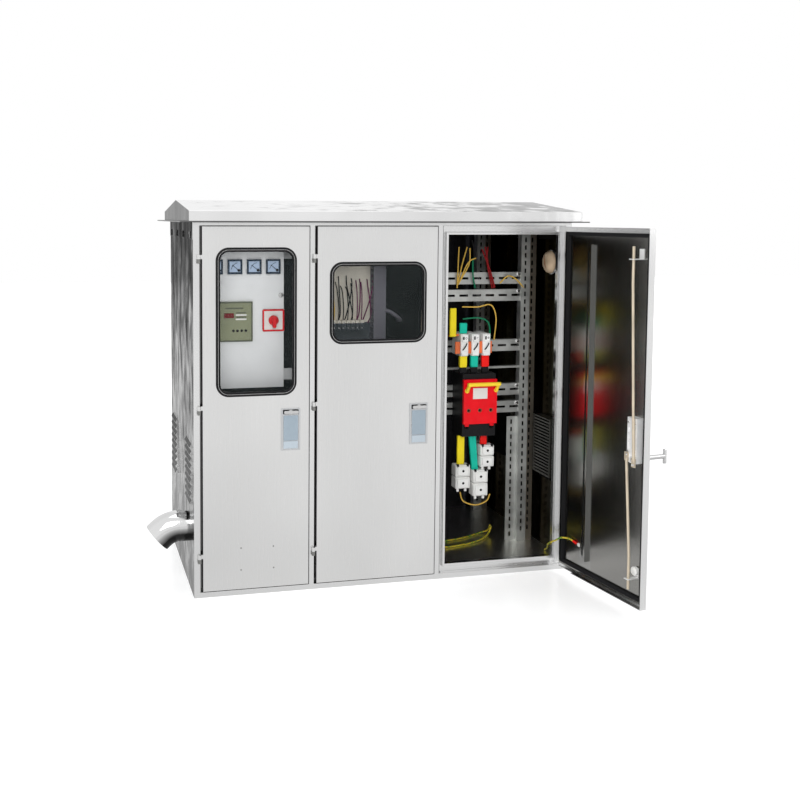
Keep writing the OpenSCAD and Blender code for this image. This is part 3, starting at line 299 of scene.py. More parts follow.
class Shader:
    """Short names for adding nodes to one material."""

    def __init__(self, name):
        self.material = bpy.data.materials.new(name)
        self.material.use_nodes = True
        self.tree = self.material.node_tree
        self.face = self.tree.nodes["Principled BSDF"]
        self.coords = self.add("ShaderNodeTexCoord").outputs["Object"]

    def feed(self, socket, value):
        """A link where the value is another node's socket, else a constant."""
        if isinstance(value, bpy.types.NodeSocket):
            self.tree.links.new(value, socket)
        else:
            socket.default_value = value

    def add(self, kind, **inputs):
        """A node with its settings, then its inputs, named with _ for a space or numbered _0, _1."""
        node = self.tree.nodes.new(kind)
        for key in SETTINGS:
            if key in inputs:
                setattr(node, key, inputs.pop(key))
        for key, value in inputs.items():
            self.feed(node.inputs[int(key[1:]) if key[0] == "_" else key.replace("_", " ")], value)
        return node

    def set(self, socket, value):
        """An input of the surface itself."""
        self.feed(self.face.inputs[socket], value)

    def part(self, axis, vector=None):
        """One of the three parts of a vector, by default of the object coordinates."""
        vector = self.coords if vector is None else vector
        return self.add("ShaderNodeSeparateXYZ", Vector=vector).outputs[axis]

    def spread(self, value, low, high, start=0.0, end=1.0):
        """A value from low to high carried over to start to end, and held beyond them."""
        return self.add("ShaderNodeMapRange", Value=value, From_Min=low, From_Max=high,
                        To_Min=start, To_Max=end).outputs[0]

    def noise(self, scale, stretch=(1, 1, 1), detail=3.0, low=0.0, high=1.0, rough=0.5):
        """Noise on object coordinates, stretched along the axes; its middle, 0.3 to 0.7, is spread from low
        to high."""
        at = self.add("ShaderNodeMapping", Vector=self.coords, Scale=stretch)
        n = self.add("ShaderNodeTexNoise", Vector=at.outputs[0], Scale=scale, Detail=detail, Roughness=rough)
        return self.spread(n.outputs[0], 0.3, 0.7, low, high)

    def mix(self, factor, a, b):
        """Colour a where the factor is 0, colour b where it is 1."""
        node = self.add("ShaderNodeMix", data_type="RGBA", _0=factor)
        for socket, value in ((node.inputs[6], a), (node.inputs[7], b)):
            self.feed(socket, value if isinstance(value, bpy.types.NodeSocket) else (*value[:3], 1.0))
        return node.outputs[2]

    def math(self, operation, a, b=0.0):
        """One arithmetic node on two values."""
        return self.add("ShaderNodeMath", operation=operation, _0=a, _1=b).outputs[0]

    def bump(self, height, strength, distance=0.001):
        """The surface's normal, tilted by a height that is distance metres high at 1."""
        bump = self.add("ShaderNodeBump", Height=height, Strength=strength, Distance=distance)
        self.set("Normal", bump.outputs[0])


def shade(colour, k):
    """A colour made k times as bright."""
    return tuple(min(1.0, max(0.0, c * k)) for c in colour[:3])


def toned(m, base, tones):
    """A colour changed where each tone says: (axis, low, high, colour, looks). It holds between two planes in
    metres; looks (axis, sign, start, end) keeps it to faces that look along an axis, and start to end is how
    far they lean before it is full."""
    for axis, low, high, colour, looks in tones:
        part = m.math("MULTIPLY", m.math("GREATER_THAN", m.part(axis), low),
                      m.math("LESS_THAN", m.part(axis), high))
        if looks:
            along, sign, start, end = looks
            way = m.part(along, m.add("ShaderNodeTexCoord").outputs["Normal"])
            part = m.math("MULTIPLY", part, m.spread(m.math("MULTIPLY", way, float(sign)), start, end))
        base = m.mix(part, base, colour)
    return base


def steel(name, colour, rough, brush=(1200, 1200, 8), patches=0.06, spread=0.03, tones=(), wave=0.0,
          mirror_bands=(), rise=(2, 1.25, 0.0, 0.75), gable=()):
    """Brushed sheet: fine hairlines along the brushing and broad soft patches, then tones of painted shade.
    A wave bends the mirror image as the flex of thin sheet does. The list mirror_bands paints reflections: it
    says how much of the mirror image is left at a grazing view, in bands along rise (axis, length, start),
    broken up by blotches of the last amount in rise; gable holds tones of painted shade laid over that."""
    m = Shader(name)
    hair = m.noise(1.0, brush, 2.0)
    broad = m.noise(2.2, (1, 1, 0.6), 2.0)
    base = m.mix(broad, shade(colour, 1 - patches), shade(colour, 1 + patches))
    base = m.mix(m.math("MULTIPLY", hair, 0.12), base, shade(colour, 0.86))
    m.set("Base Color", toned(m, base, tones))
    m.set("Metallic", 1.0)
    m.set("Roughness", m.spread(hair, 0.0, 1.0, rough - spread, rough + spread))
    if mirror_bands:
        # Painted reflection: the specular tint in bands and blotches, standing for the mirrored surroundings
        axis, length, start, amount = rise
        blot = m.noise(1.0, (12, 13, 7), 3.5, -0.5, 0.5, 0.55)
        place = m.math("ADD", m.math("MULTIPLY", blot, amount),
                       m.math("ADD", m.math("DIVIDE", m.part(axis), length), start))
        steps = m.add("ShaderNodeValToRGB", Fac=place)
        stops = steps.color_ramp.elements
        for k, (at, value) in enumerate(mirror_bands):
            stop = stops[k] if k < 2 else stops.new(at)
            stop.position = at
            stop.color = (value, value, value, 1.0)
        m.set("Specular Tint", toned(m, steps.outputs[0], gable))
    if wave:
        m.bump(m.noise(1.0, (9, 5.5, 3.2), 1.5, -1.0, 1.0, 0.4), 1.0, wave)
    else:
        m.bump(hair, 0.02, 0.0004)
    return m.material


def moulded(name, colour, rough=0.4, grain=900.0, bump=0.08, patches=0.05, metal=0.0, dirt=0.0, tones=()):
    """Moulded, painted or cast surface: a fine grain in the bump, slight tone changes and a little dust."""
    m = Shader(name)
    fine = m.noise(grain, (1, 1, 1), 2.0)
    broad = m.noise(14.0, (1, 1, 1), 3.0)
    base = m.mix(broad, shade(colour, 1 - patches), shade(colour, 1 + patches))
    if dirt:
        base = m.mix(m.noise(60.0, (1, 1, 1), 4.0, 0.0, dirt), base, (0.30, 0.28, 0.25))
    m.set("Base Color", toned(m, base, tones))
    m.set("Metallic", metal)
    m.set("Specular IOR Level", 0.5 if metal else 0.16)
    m.set("Roughness", m.spread(broad, 0.0, 1.0, rough - 0.05, rough + 0.07))
    m.bump(fine, bump, 0.0004)
    return m.material


# Steel sheets. FAR lies beyond the box on every side; the walls' outer faces lie at 0.675, and what stands
# out of them past HOODS are the louvres' hoods
FAR = 9.0
WHOLE = (-FAR, FAR)
HOODS = 0.6762
FRAME = (0.80, 0.80, 0.80)
WALL = (0.78, 0.78, 0.78)
# INSIDE_SHADE: sheet painted dark, painted shade of the compartments' inside
INSIDE_SHADE = (0.16, 0.155, 0.145)
# DOOR_3_SHADE: painted shade on door 3's inner face
DOOR_3_SHADE = (0.34, 0.335, 0.32)
STIFFENER = (-0.535, -0.465)
UPWARDS = (2, 1, 0.05, 0.4)
# Painted reflections: stops of (place, amount) for the specular tint along the walls' height and across the
# roof
WALL_MIRROR_BANDS = ((0.0, 0.36), (0.14, 0.44), (0.24, 0.68), (0.46, 0.46), (0.60, 0.30), (0.80, 0.13), (1.0, 0.05))
ROOF_MIRROR_BANDS = ((0.0, 1.0), (0.40, 1.0), (0.60, 0.88), (0.78, 0.60), (1.0, 0.5))
INNER_BRUSH = (160, 160, 4)


def grey(value):
    """A neutral colour."""
    return (value, value, value)


def facing(axis, sign, start=0.15, end=0.6):
    """The looks of a tone that keeps to faces turned along an axis."""
    return (axis, sign, start, end)


front_steel = steel("brushed_front", (0.80, 0.80, 0.795), 0.30)
# The frame's strips are painted dark, painted shade, where they lie deeper than its face (y over -0.3402),
# except right of x 0.202
frame_steel = steel("frame_strips", FRAME, 0.22, tones=(
    (1, -0.3402, FAR, grey(0.16), None), (0, 0.202, FAR, FRAME, None)))
# The outlet tube is painted near-black on faces that look down: painted shade
outlet_steel = steel("outlet_tube", FRAME, 0.10, tones=(
    (2, *WHOLE, grey(0.035), facing(2, -1, -0.25, 0.3)),))
# Side walls: painted shade on their inner faces; their specular tint is painted in bands along the height,
# painted reflections, and darkened on the louvre hoods' tops, painted shade
left_steel = steel("left_wall", WALL, 0.16, wave=0.002, mirror_bands=WALL_MIRROR_BANDS,
                   tones=((0, *WHOLE, INSIDE_SHADE, facing(0, 1)),),
                   gable=((0, -FAR, -HOODS, grey(0.12), UPWARDS),))
right_steel = steel("right_wall", WALL, 0.16, wave=0.001, mirror_bands=WALL_MIRROR_BANDS, rise=(2, 1.25, 0.0, 0.35),
                    tones=((0, *WHOLE, (0.07, 0.065, 0.05), facing(0, -1)),),
                    gable=((0, HOODS, FAR, grey(0.12), UPWARDS),))
# Back wall: painted shade on its inner face, the one that looks to -y
back_steel = steel("back_wall", WALL, 0.26, INNER_BRUSH, spread=0.01,
                   tones=((1, *WHOLE, (0.085, 0.085, 0.10), facing(1, -1)),))
# Roof: its stronger colour patches and its specular tint, in bands across x, are painted reflections; the
# tint is darker on faces that look to -x, painted shade
roof_steel = steel("roof_sheet", grey(0.88), 0.14, (8, 1200, 1200), patches=0.10, wave=0.002,
                   rise=(0, 1.4, 0.5, 1.0), mirror_bands=ROOF_MIRROR_BANDS,
                   gable=((0, *WHOLE, grey(0.40), facing(0, -1, 0.3)),))
# The top plate is painted near-black: a painted shadow line under the roof's fascia
shadowed_plate_steel = steel("plate_painted_shadow", grey(0.14), 0.30)
# Partitions in INSIDE_SHADE: painted shade of the compartments
inner_steel = steel("inner_sheet", INSIDE_SHADE, 0.26, INNER_BRUSH, spread=0.01)
# The base frame is painted brighter than the other sheets: painted light inside the dim compartments
floor_steel = steel("floor_sheet", (0.95, 0.94, 0.90), 0.30)
# Door 3: painted shade on its inner face, which looks to -x, and on the stiffener's faces; its top and bottom
# rims and the strip by the hinge keep the bright colour
door_3_steel = steel("door_3_sheet", WALL, 0.20, tones=(
    (0, *WHOLE, DOOR_3_SHADE, facing(0, -1)), (1, *STIFFENER, (0.30, 0.30, 0.29), facing(1, -1)),
    (1, *STIFFENER, (0.36, 0.36, 0.35), facing(0, -1)), (2, (DOOR_HIGH - 17) / 1000, FAR, FRAME, None),
    (2, -FAR, (DOOR_LOW + 6) / 1000, FRAME, None), (1, -0.366, FAR, FRAME, None)))

# Zinc, rubber, plastic, paint and copper
ZINC = ((0.60, 0.61, 0.59), 0.46, 300.0, 0.10, 0.25, 0.9)
zinc = moulded("zinc_coat", *ZINC)
# Posts: painted shade, darker where they stand beside the right wall (x over 0.6285) and at the left of
# compartment 3 (x 0.15 to 0.30)
zinc_posts = moulded("zinc_posts", *ZINC, tones=(
    (0, 0.6285, FAR, (0.24, 0.21, 0.17), None), (0, 0.15, 0.30, (0.16, 0.14, 0.12), None)))
hinge_metal = moulded("hinge_metal", (0.26, 0.26, 0.25), 0.38, 500.0, 0.05, 0.1, 1.0)
rubber = moulded("black_rubber", (0.008, 0.008, 0.009), 0.45, 700.0, 0.10)
seal_rubber = moulded("seal_foam", (0.012, 0.012, 0.013), 0.8, 500.0, 0.25)
lock_blue = moulded("lock_blue_grey", (0.33, 0.40, 0.46), 0.34, 700.0, 0.05, 0.03, 0.35)
lock_pale = moulded("lock_strip", (0.50, 0.57, 0.63), 0.30, 700.0, 0.05, 0.03, 0.35)
lock_rim = moulded("lock_rim", (0.62, 0.63, 0.64), 0.30, 700.0, 0.04, 0.04, 0.9)
# Black for dark parts, also used as painted shade for the lock slots and the sleeves' lower ends
black_parts_and_shade = moulded("black_parts_and_shade", (0.012, 0.012, 0.013), 0.5)
case_zinc = moulded("case_zinc", (0.90, 0.90, 0.89), 0.34, 400.0, 0.07, 0.12, 0.3)
rod_yellow = moulded("rod_passivated", (0.70, 0.60, 0.46), 0.34, 600.0, 0.06, 0.12, 0.5)
handle_zinc = moulded("handle_zinc", (0.66, 0.66, 0.66), 0.2, 500.0, 0.05, 0.08, 1.0)
panel_white = moulded("panel_powder", (0.74, 0.75, 0.755), 0.42, 1400.0, 0.15, 0.03)
meter_case = moulded("meter_case", (0.02, 0.035, 0.06), 0.25)
meter_face = moulded("meter_face", (0.42, 0.53, 0.70), 0.4)
needle_dark = moulded("needle_dark", (0.015, 0.015, 0.02), 0.4)
control_face = moulded("control_face", (0.235, 0.25, 0.155), 0.42, 900.0, 0.06, 0.04)
control_rim = moulded("control_rim", (0.10, 0.11, 0.08), 0.45)
display_red = moulded("display_red", (0.16, 0.01, 0.012), 0.18)
plate_white = moulded("plate_white", (0.76, 0.75, 0.72), 0.4)
red_gloss = moulded("red_gloss", (0.66, 0.006, 0.012), 0.28, 900.0, 0.05, 0.06)
cover_red = moulded("cover_red", (0.82, 0.002, 0.010), 0.36, 900.0, 0.06, 0.08, dirt=0.03)
# The board is painted dark below z 0.896: painted shade where it lies low in compartment 2
board_beige = moulded("board_beige", (0.78, 0.73, 0.63), 0.5, 500.0, 0.10, 0.10, tones=(
    (2, -FAR, 0.896, (0.07, 0.08, 0.09), None),))
duct_mauve = moulded("duct_grey", (0.16, 0.155, 0.18), 0.5)
black_plastic = moulded("black_insulator", (0.012, 0.012, 0.013), 0.42, 600.0, 0.10)
yellow_gloss = moulded("yellow_grip", (0.98, 0.70, 0.045), 0.30, 900.0, 0.05, 0.06)
ceramic = moulded("ceramic", (0.72, 0.66, 0.52), 0.35, 300.0, 0.06)
white_plastic = moulded("white_insulator", (0.86, 0.86, 0.84), 0.38, 900.0, 0.06, 0.05, dirt=0.08)
copper = moulded("copper_bar", (0.80, 0.17, 0.05), 0.36, 400.0, 0.06, 0.18, 0.3)
sleeve_yellow = moulded("sleeve_yellow", (0.90, 0.72, 0.02), 0.36, 500.0, 0.05, 0.08)
sleeve_green = moulded("sleeve_green", (0.01, 0.50, 0.36), 0.36, 500.0, 0.05, 0.08)
sleeve_red = moulded("sleeve_red", (0.92, 0.015, 0.012), 0.36, 500.0, 0.05, 0.08)
heater_metal = moulded("heater_alloy", (0.10, 0.095, 0.085), 0.34, 500.0, 0.06, 0.12, 0.9)
lamp_opal = moulded("lamp_opal", (0.50, 0.38, 0.26), 0.22, 300.0, 0.03, 0.3)
lamp_brown = moulded("lamp_brown", (0.20, 0.11, 0.06), 0.3)
wire_ochre = moulded("wire_ochre", (0.66, 0.42, 0.08), 0.45)
wire_green = moulded("wire_green", (0.01, 0.17, 0.08), 0.45)
wire_dark_red = moulded("wire_dark_red", (0.26, 0.01, 0.012), 0.45)
wire_black = moulded("wire_black", (0.012, 0.012, 0.012), 0.45)
wire_mauve = moulded("wire_mauve", (0.16, 0.02, 0.09), 0.45)
bright_metal = moulded("bright_metal", (0.80, 0.80, 0.79), 0.22, 500.0, 0.03, 0.05, 1.0)
nylon = moulded("nylon_roller", (0.92, 0.92, 0.90), 0.4)

# Window glass, a little soiled
m = Shader("window_glass")
m.set("Base Color", m.mix(m.noise(9.0), (0.06, 0.075, 0.075), (0.10, 0.12, 0.12)))
m.set("Roughness", m.noise(30.0, (1, 1, 1), 3.0, 0.015, 0.05))
m.set("Alpha", 0.07)
m.set("Specular IOR Level", 0.4)
glass = m.material

# Yellow earth wire with green blotches, where a noise passes a level
m = Shader("earth_stripes")
green = m.math("GREATER_THAN", m.noise(90.0, (1, 1, 1), 1.0), 0.62)
m.set("Base Color", m.mix(green, (0.62, 0.48, 0.03), (0.10, 0.26, 0.03)))
m.set("Roughness", 0.45)
earth_stripes = m.material

# The cabinet's own pieces keep their shape and get rounded edges
for node, width, material, slot in (
        ("front_frame", 0.9, frame_steel, "stainless"), ("back_panel", 0.5, back_steel, "stainless"),
        ("partitions", 0.4, inner_steel, "inner_steel"), ("base_frame", 0.6, floor_steel, "inner_steel"),
        ("top_plate", 1.2, shadowed_plate_steel, "roof_steel"), ("roof_cover", 1.6, roof_steel, "roof_steel"),
        ("instrument_panel", 0.6, panel_white, "panel_white"), ("slotted_rails", 0.5, zinc, "zinc_steel"),
        ("panel_heater", 0.8, heater_metal, "heater_alloy"),
        ("fuse_switch_base", 1.5, black_plastic, "base_black"),
        ("frame_hinge_pins", 0.7, hinge_metal, "hinge_steel"), ("wiring_duct", 0.6, duct_mauve, "duct_grey")):
    softened(node, width, material, "cabinet")


def wear(node, material):
    """A construction piece shown as it is, in one material."""
    NODES[node].data.materials.clear()
    NODES[node].data.materials.append(material)


for node, material in (
        ("left_side_panel", left_steel), ("right_side_panel", right_steel), ("slotted_posts", zinc_posts),
        ("cable_outlet", outlet_steel), ("meter_board", board_beige), ("fuse_links", ceramic),
        ("earth_wires", earth_stripes), ("switch_plate", plate_white), ("power_controller", control_face),
        ("panel_meters", meter_case), ("fuse_switch_handle", yellow_gloss)):
    wear(node, material)

for k in (1, 2, 3):
    d = f"door_{k}"
    softened(d + "_shell", 0.8, front_steel if k < 3 else door_3_steel, d)
    wear(d + "_seal", seal_rubber)
    softened(d + "_lock_plate", 0.7, lock_rim, d)
    softened(d + "_lock_case", 0.8, case_zinc, d)
    softened(d + "_lock_cam", 0.5, case_zinc, d + "_lock_cam_body")
    softened(d + "_handle", 1.2, handle_zinc, d + "_handle_body")
    for q in ("_upper_rod", "_lower_rod"):
        wear(d + q, rod_yellow)
    if k < 3:
        wear(d + "_window_pane", glass)

softened("fuse_switch_cover", 1.6, cover_red, "switch_cover")

# Window rubbers with their bright filler strip: left and lower edge in the door, width and height, and the
# corners' radius; the profiles give how far in and how deep
WINDOWS = {1: (44, 655, 274, 497), 2: (42, 822, 345, 280)}
CORNER = 44
RUBBER = [(0, 0.2), (-0.2, -1.6), (-1.2, -3.2), (-3.2, -4.0), (-5.2, -3.9), (-6.4, -3.0), (-6.8, -1.8),
          (-9.2, -1.8), (-9.6, -3.0), (-10.8, -3.8), (-12.6, -3.6), (-14.2, -2.4), (-15, -0.6), (-15, 4.4),
          (-13.6, 6.0), (-1.4, 6.0), (0, 4.4), (0, 2.0)]
FILLER = [(-7.0, -1.7), (-7.1, -2.9), (-7.6, -3.5), (-8.4, -3.5), (-8.9, -2.9), (-9.0, -1.7)]
for k, (x, z, w, h) in WINDOWS.items():
    for name, profile, material, slot in (("rubber", RUBBER, rubber, "black_rubber"),
                                          ("filler", FILLER, bright_metal, "lock_steel")):
        points, faces = framed(profile, w, h, CORNER)
        points = on_door(k, points + np.array([x + w / 2, 0, z + h / 2]))
        new_piece(f"door_{k}_window_{name}", points, faces, material, f"door_{k}", slot, 50,
                  [f"door_{k}_window_gasket"] if name == "rubber" else [])


def on_lock(k, points):
    """Lock coordinates, about the plate's middle with the handle's axis above, turned over on door 3."""
    p = np.asarray(points, float) * (np.array([-1, 1, -1]) if k == 3 else 1)
    return on_door(k, p + np.array([DOOR_W[k - 1] - LOCK_IN[k - 1], 0, LOCK_Z - DOOR_LOW]))


# Lock plates: the pale cover, the slanted strip under it, and a thin black plate round the handle's axis: a
# painted shadow of the slot there
for k in (1, 2, 3):
    d = f"door_{k}"
    cover, faces = plate(50, 86, 3, -3.6, -3.0)
    new_piece(d + "_lock_cover", on_lock(k, cover + np.array([0, 0, 4])), faces, lock_blue, d, "lock_face")
    slope = np.array([[-25, -3.4, -41], [25, -3.4, -41], [25, -2.2, -66], [-25, -2.2, -66]])
    low = slope.copy()
    low[:, 1] = -1.4
    sides = [[0, 1, 2, 3], [4, 5, 6, 7], [0, 1, 5, 4], [1, 2, 6, 5], [2, 3, 7, 6], [3, 0, 4, 7]]
    new_piece(d + "_lock_strip", on_lock(k, np.concatenate([slope, low])), sides, lock_pale, d, "lock_face")
    # A thin black plate: painted shadow of the slot round the handle's axis
    pit, faces = plate(54, 15, 3, -1.9, -1.5, 0.1)
    pit = on_lock(k, pit + np.array([0, 0, AXIS_OFF]))
    new_piece(d + "_lock_slot_shadow", pit, faces, black_parts_and_shade, d, "lock_face")

# Instrument panel: meter faces with a scale's arc, a needle and its hub
PANEL_Y = -265.0
METER_X, METER_STEP, METER_Z = -589.0, 66.0, 1105.0
ARC = 27.0
meters, needles = [], []
for i in range(4):
    x = METER_X + METER_STEP * i
    meters.append(block((x - 18.5, PANEL_Y - 5.6, METER_Z - 18),
                        (x + 18.5, PANEL_Y - 4.9, METER_Z + 18.5), 0.2))
    t = np.linspace(math.radians(100), math.radians(170), 9)
    arc = np.stack([x + 14 + ARC * np.cos(t), np.full(9, PANEL_Y - 5.9), METER_Z - 13 + ARC * np.sin(t)], -1)
    needles.append(wire(arc, 1.6, 2, 6))
    needles.append(wire([(x + 13, PANEL_Y - 6.2, METER_Z - 12),
                         (x - 9, PANEL_Y - 6.2, METER_Z + 6)], 2.0, 2, 6))
    needles.append(turned([(5, 0), (5, 1.2), (3.5, 1.8)], 16, 1, (x + 13, PANEL_Y - 7.4, METER_Z - 12)))
new_piece("meter_faces", *joined(meters), meter_face, "cabinet", "meter_dark")
new_piece("meter_needles", *joined(needles), needle_dark, "cabinet", "meter_dark", 40)

# Power controller about its middle at cx, cz: rim, display, pale and dark bars, and a row of keys
cx, cz = -531, 919
CONTROL = 136
rim = [(0, PANEL_Y - 9.2), (-1.2, PANEL_Y - 9.8), (-4.2, PANEL_Y - 9.8), (-5, PANEL_Y - 8)]
points, faces = framed(rim, CONTROL, CONTROL, 5)
new_piece("control_rim", points + np.array([cx, 0, cz]), faces, control_rim, "cabinet", "control_green")
parts = [block((cx - 29.5, PANEL_Y - 6.2, cz + 12.5), (cx + 4.5, PANEL_Y - 4.9, cz + 29), 0.3)]
new_piece("control_display", *joined(parts), display_red, "cabinet", "control_green")


def bar_on_control(left, right, low, high):
    """A thin bar on the controller's face, between two edges each way from its middle."""
    return block((cx + left, PANEL_Y - 7.8, cz + low), (cx + right, PANEL_Y - 7.2, cz + high), 0.2)


parts = [bar_on_control(10, 47, z, z + 5) for z in (5.5, 20)]
new_piece("control_lines", *joined(parts), plate_white, "cabinet", "control_green")
parts = [bar_on_control(12, 46, z, z + 4) for z in (13, 28)] + [bar_on_control(-25, 36, 43, 48)]
new_piece("control_marks", *joined(parts), control_rim, "cabinet", "control_green")
key = [(4.6, 0), (4.6, -1.6), (3.6, -2.4)]
parts = [turned(key, 16, 1, (cx + 2 + 14.2 * i, PANEL_Y - 7, cz - 31)) for i in range(4)]
new_piece("control_keys", *joined(parts), black_parts_and_shade, "cabinet", "control_green", 40)

# Compartment 2: the fan of wires, as a near row from the terminal strip and a far row behind it, the strip's
# screws and the slanted lead
BOARD_Y = -150.0
ROOM_2 = -271.5
STRIP_X, STRIP_STEP = ROOM_2 + 105, 17
COLOURS = {"ochre": wire_ochre, "black": wire_black, "green": wire_green, "red": wire_dark_red,
           "mauve": wire_mauve}
NEAR_ROW = ("ochre", "ochre", "black", "black", "black", "black", "mauve", "mauve")
FAR_ROW = ("ochre", "black", "ochre", "black", "black", "black", "mauve", "mauve", "mauve")
fan = {"ochre": [], "black": [], "mauve": []}
for i, kind in enumerate(NEAR_ROW):
    x = STRIP_X + STRIP_STEP * i
    top = 1035 + 12 * math.sin(math.radians(73 * i))
    fan[kind].append(wire([(x, BOARD_Y - 20, 906), (x - 1, BOARD_Y - 30, 950),
                           (ROOM_2 + 98 + 18 * i, BOARD_Y - 24, 1005),
                           (ROOM_2 + 94 + 19 * i, BOARD_Y, top)], 4.0, 6))
for i, kind in enumerate(FAR_ROW):
    x0, x1 = ROOM_2 + 70 + 23 * i, ROOM_2 + 60 + 26 * i + 26 * math.sin(2.1 * i)
    fan[kind].append(wire([(x0, BOARD_Y, 893), (x0 + 4, BOARD_Y - 26, 925),
                           (0.5 * (x0 + x1), BOARD_Y - 40, 975), (x1, BOARD_Y - 26, 1030),
                           (x1 + 5, BOARD_Y, 1058 + 9 * math.sin(3 * i))], 4.2, 6))
for kind, parts in fan.items():
    new_piece("fan_" + kind, *joined(parts), COLOURS[kind], "cabinet", "wire_insulation", 60)
screw = [(2.6, 0), (2.6, -4.5), (1.8, -5.2)]
parts = [turned(screw, 12, 1, (STRIP_X + STRIP_STEP * i, BOARD_Y - 24, z))
         for i in range(8) for z in (897, 879)]
new_piece("strip_screws", *joined(parts), bright_metal, "cabinet", "lock_steel", 40)
lead = [(34, BOARD_Y - 44, 942), (52, BOARD_Y - 47, 936), (78, BOARD_Y - 44, 918), (96, BOARD_Y - 30, 904),
        (100, BOARD_Y + 8, 900)]
new_piece("slanted_lead", *wire(lead, 13, 6, 12), duct_mauve, "cabinet", "duct_grey", 60)

# Compartment 3: the rails' bolts, beside the posts and 14 mm above each rail's lower edge
RAIL_Y = -128.0
RAILS_Z = (1048, 984, 795, 627, 561)
BOLTS_X = (235.5, 579.0)


def hex_bolt(x, y, z, r=6.5, h=4.5):
    """A hexagon head on a round washer: both turned about Y, the head with six sides."""
    washer = turned([(r * 1.25, 0), (r * 1.25, -1.2), (r * 1.1, -1.5)], 18, 1, (x, y, z))
    head = turned([(r, -1.4), (r, 0.8 - h), (r * 0.82, -h)], 6, 1, (x, y, z))
    return joined([washer, head])


parts = [hex_bolt(x, RAIL_Y, z + 14) for z in RAILS_Z for x in BOLTS_X]
new_piece("rail_bolts", *joined(parts), bright_metal, "cabinet", "zinc_steel", 35)

# The loose wires in compartment 3, each by the points it runs through
wires_3 = {
    "ochre": [[(332, -131, 1013), (331, -140, 1080), (334, -140, 1165)],
              [(331, -133, 1021), (346, -142, 1099), (365, -142, 1165)],
              [(333, -137, 1025), (368, -146, 1106), (399, -146, 1124)],
              [(339, -132, 1032), (374, -141, 1102), (377, -141, 1161)],
              [(503, -130, 1029), (530, -140, 1056), (563, -140, 1044), (601, -130, 1009)],
              [(329, -190, 948), (391, -190, 947), (442, -190, 953), (463, -190, 905), (465, -170, 821)],
              [(329, -195, 262), (342, -195, 228), (389, -195, 210), (433, -195, 222), (448, -195, 248)]],
    "green": [[(403, -132, 1012), (390, -141, 1061), (389, -141, 1124)],
              [(331, -195, 904), (390, -195, 907), (429, -195, 891), (438, -195, 843), (434, -195, 821)]],
    "black": [[(394, -139, 1109), (394, -139, 1154), (385, -139, 1191)]],
    "red": [[(479, -131, 1011), (454, -140, 1087), (437, -140, 1165)],
            [(470, -134, 1011), (444, -143, 1109), (447, -143, 1165)],
            [(480, -137, 1015), (455, -146, 1079), (422, -146, 1157)]]}
for kind, routes in wires_3.items():
    parts = [wire(route, 5.0 if kind in ("ochre", "red") else 6.0, 8) for route in routes]
    new_piece("wires_3_" + kind, *joined(parts), COLOURS[kind], "cabinet", "wire_insulation", 60,
              ["control_wires"] if kind == "ochre" else [])

# The fuse carriers with their spring clips and screws
PHASES = [343.0, 386.0, 429.0]
BUS = [x - 12.0 for x in PHASES]
CARRIER_Y = -216.0
HALF = 14.5
white, clips, screws = [], [], []
for x in BUS:
    white.append(block((x - HALF, CARRIER_Y, 770), (x + HALF, RAIL_Y, 851), 1.6))
    white.append(block((x - 11.5, CARRIER_Y - 5, 822), (x + 11.5, CARRIER_Y + 1, 849), 1.4))
    white.append(block((x - 12.5, CARRIER_Y - 3, 772), (x + 12.5, CARRIER_Y + 1, 786), 1.2))
    clips.append(wire([(x - 8, CARRIER_Y - 1.0, 792), (x - 3, CARRIER_Y - 4.6, 800),
                       (x + 3, CARRIER_Y - 5.0, 809), (x + 8, CARRIER_Y - 1.0, 817)], 4.4, 5))
    clips.append(block((x - 9, CARRIER_Y - 5.8, 830), (x - 3, CARRIER_Y - 4.6, 842), 0.4))
    screws.append(turned([(4.2, 0), (4.2, -2.2), (3.2, -3.2)], 14, 1, (x + 4, CARRIER_Y - 4, 836)))
new_piece("carrier_bodies", *joined(white), white_plastic, "cabinet", "carrier_white", 40, ["fuse_carriers"])
new_piece("carrier_clips", *joined(clips), black_parts_and_shade, "cabinet", "base_black", 50)
new_piece("carrier_screws", *joined(screws), bright_metal, "cabinet", "lock_steel", 40)

# The copper bar between the carriers, and the coloured sleeves above, between and below carriers and switch
edges = [BUS[0] - 33] + [x + side for x in BUS for side in (-HALF, HALF)] + [BUS[2] + 24]
bar = [block((left, CARRIER_Y + 8, 778), (right, CARRIER_Y + 14, 822), 0.8)
       for left, right in zip(edges[::2], edges[1::2])]
new_piece("copper_bar", *joined(bar), copper, "cabinet", "carrier_white")

BAR_Y = -204.0


def flat_sleeve(x, left, right, low, high, proud=0):
    """A sleeve on a flat bar, between two edges each way from its phase and two heights."""
    return block((x + left, BAR_Y - proud, low), (x + right, BAR_Y + 10, high), 2.2)


SLEEVES = (("yellow", sleeve_yellow), ("green", sleeve_green), ("red", sleeve_red))
tops = {"yellow": [flat_sleeve(BUS[0], -53, -28, 840, 945)],
        "green": [flat_sleeve(BUS[0], -14, 14, 851, 890)], "red": []}
slanted = np.array([(BUS[1] - 16, 475), (BUS[1] + 10, 475), (BUS[1] + 21, 346), (BUS[1] - 3, 346)])
lows = {"yellow": flat_sleeve(BUS[0], -18, 10, 368, 475), "red": flat_sleeve(BUS[2], -14, 12, 438, 475),
        "green": grid([standing(slanted, BAR_Y), standing(slanted, BAR_Y + 10)])}
for i, (kind, material) in enumerate(SLEEVES):
    parts = tops[kind] + [lows[kind], flat_sleeve(BUS[i], -14, 14, 727, 770, 4)]
    new_piece("sleeves_" + kind, *joined(parts), material, "cabinet", "phase_sleeve", 40,
              ["phase_bars"] if i == 0 else [])
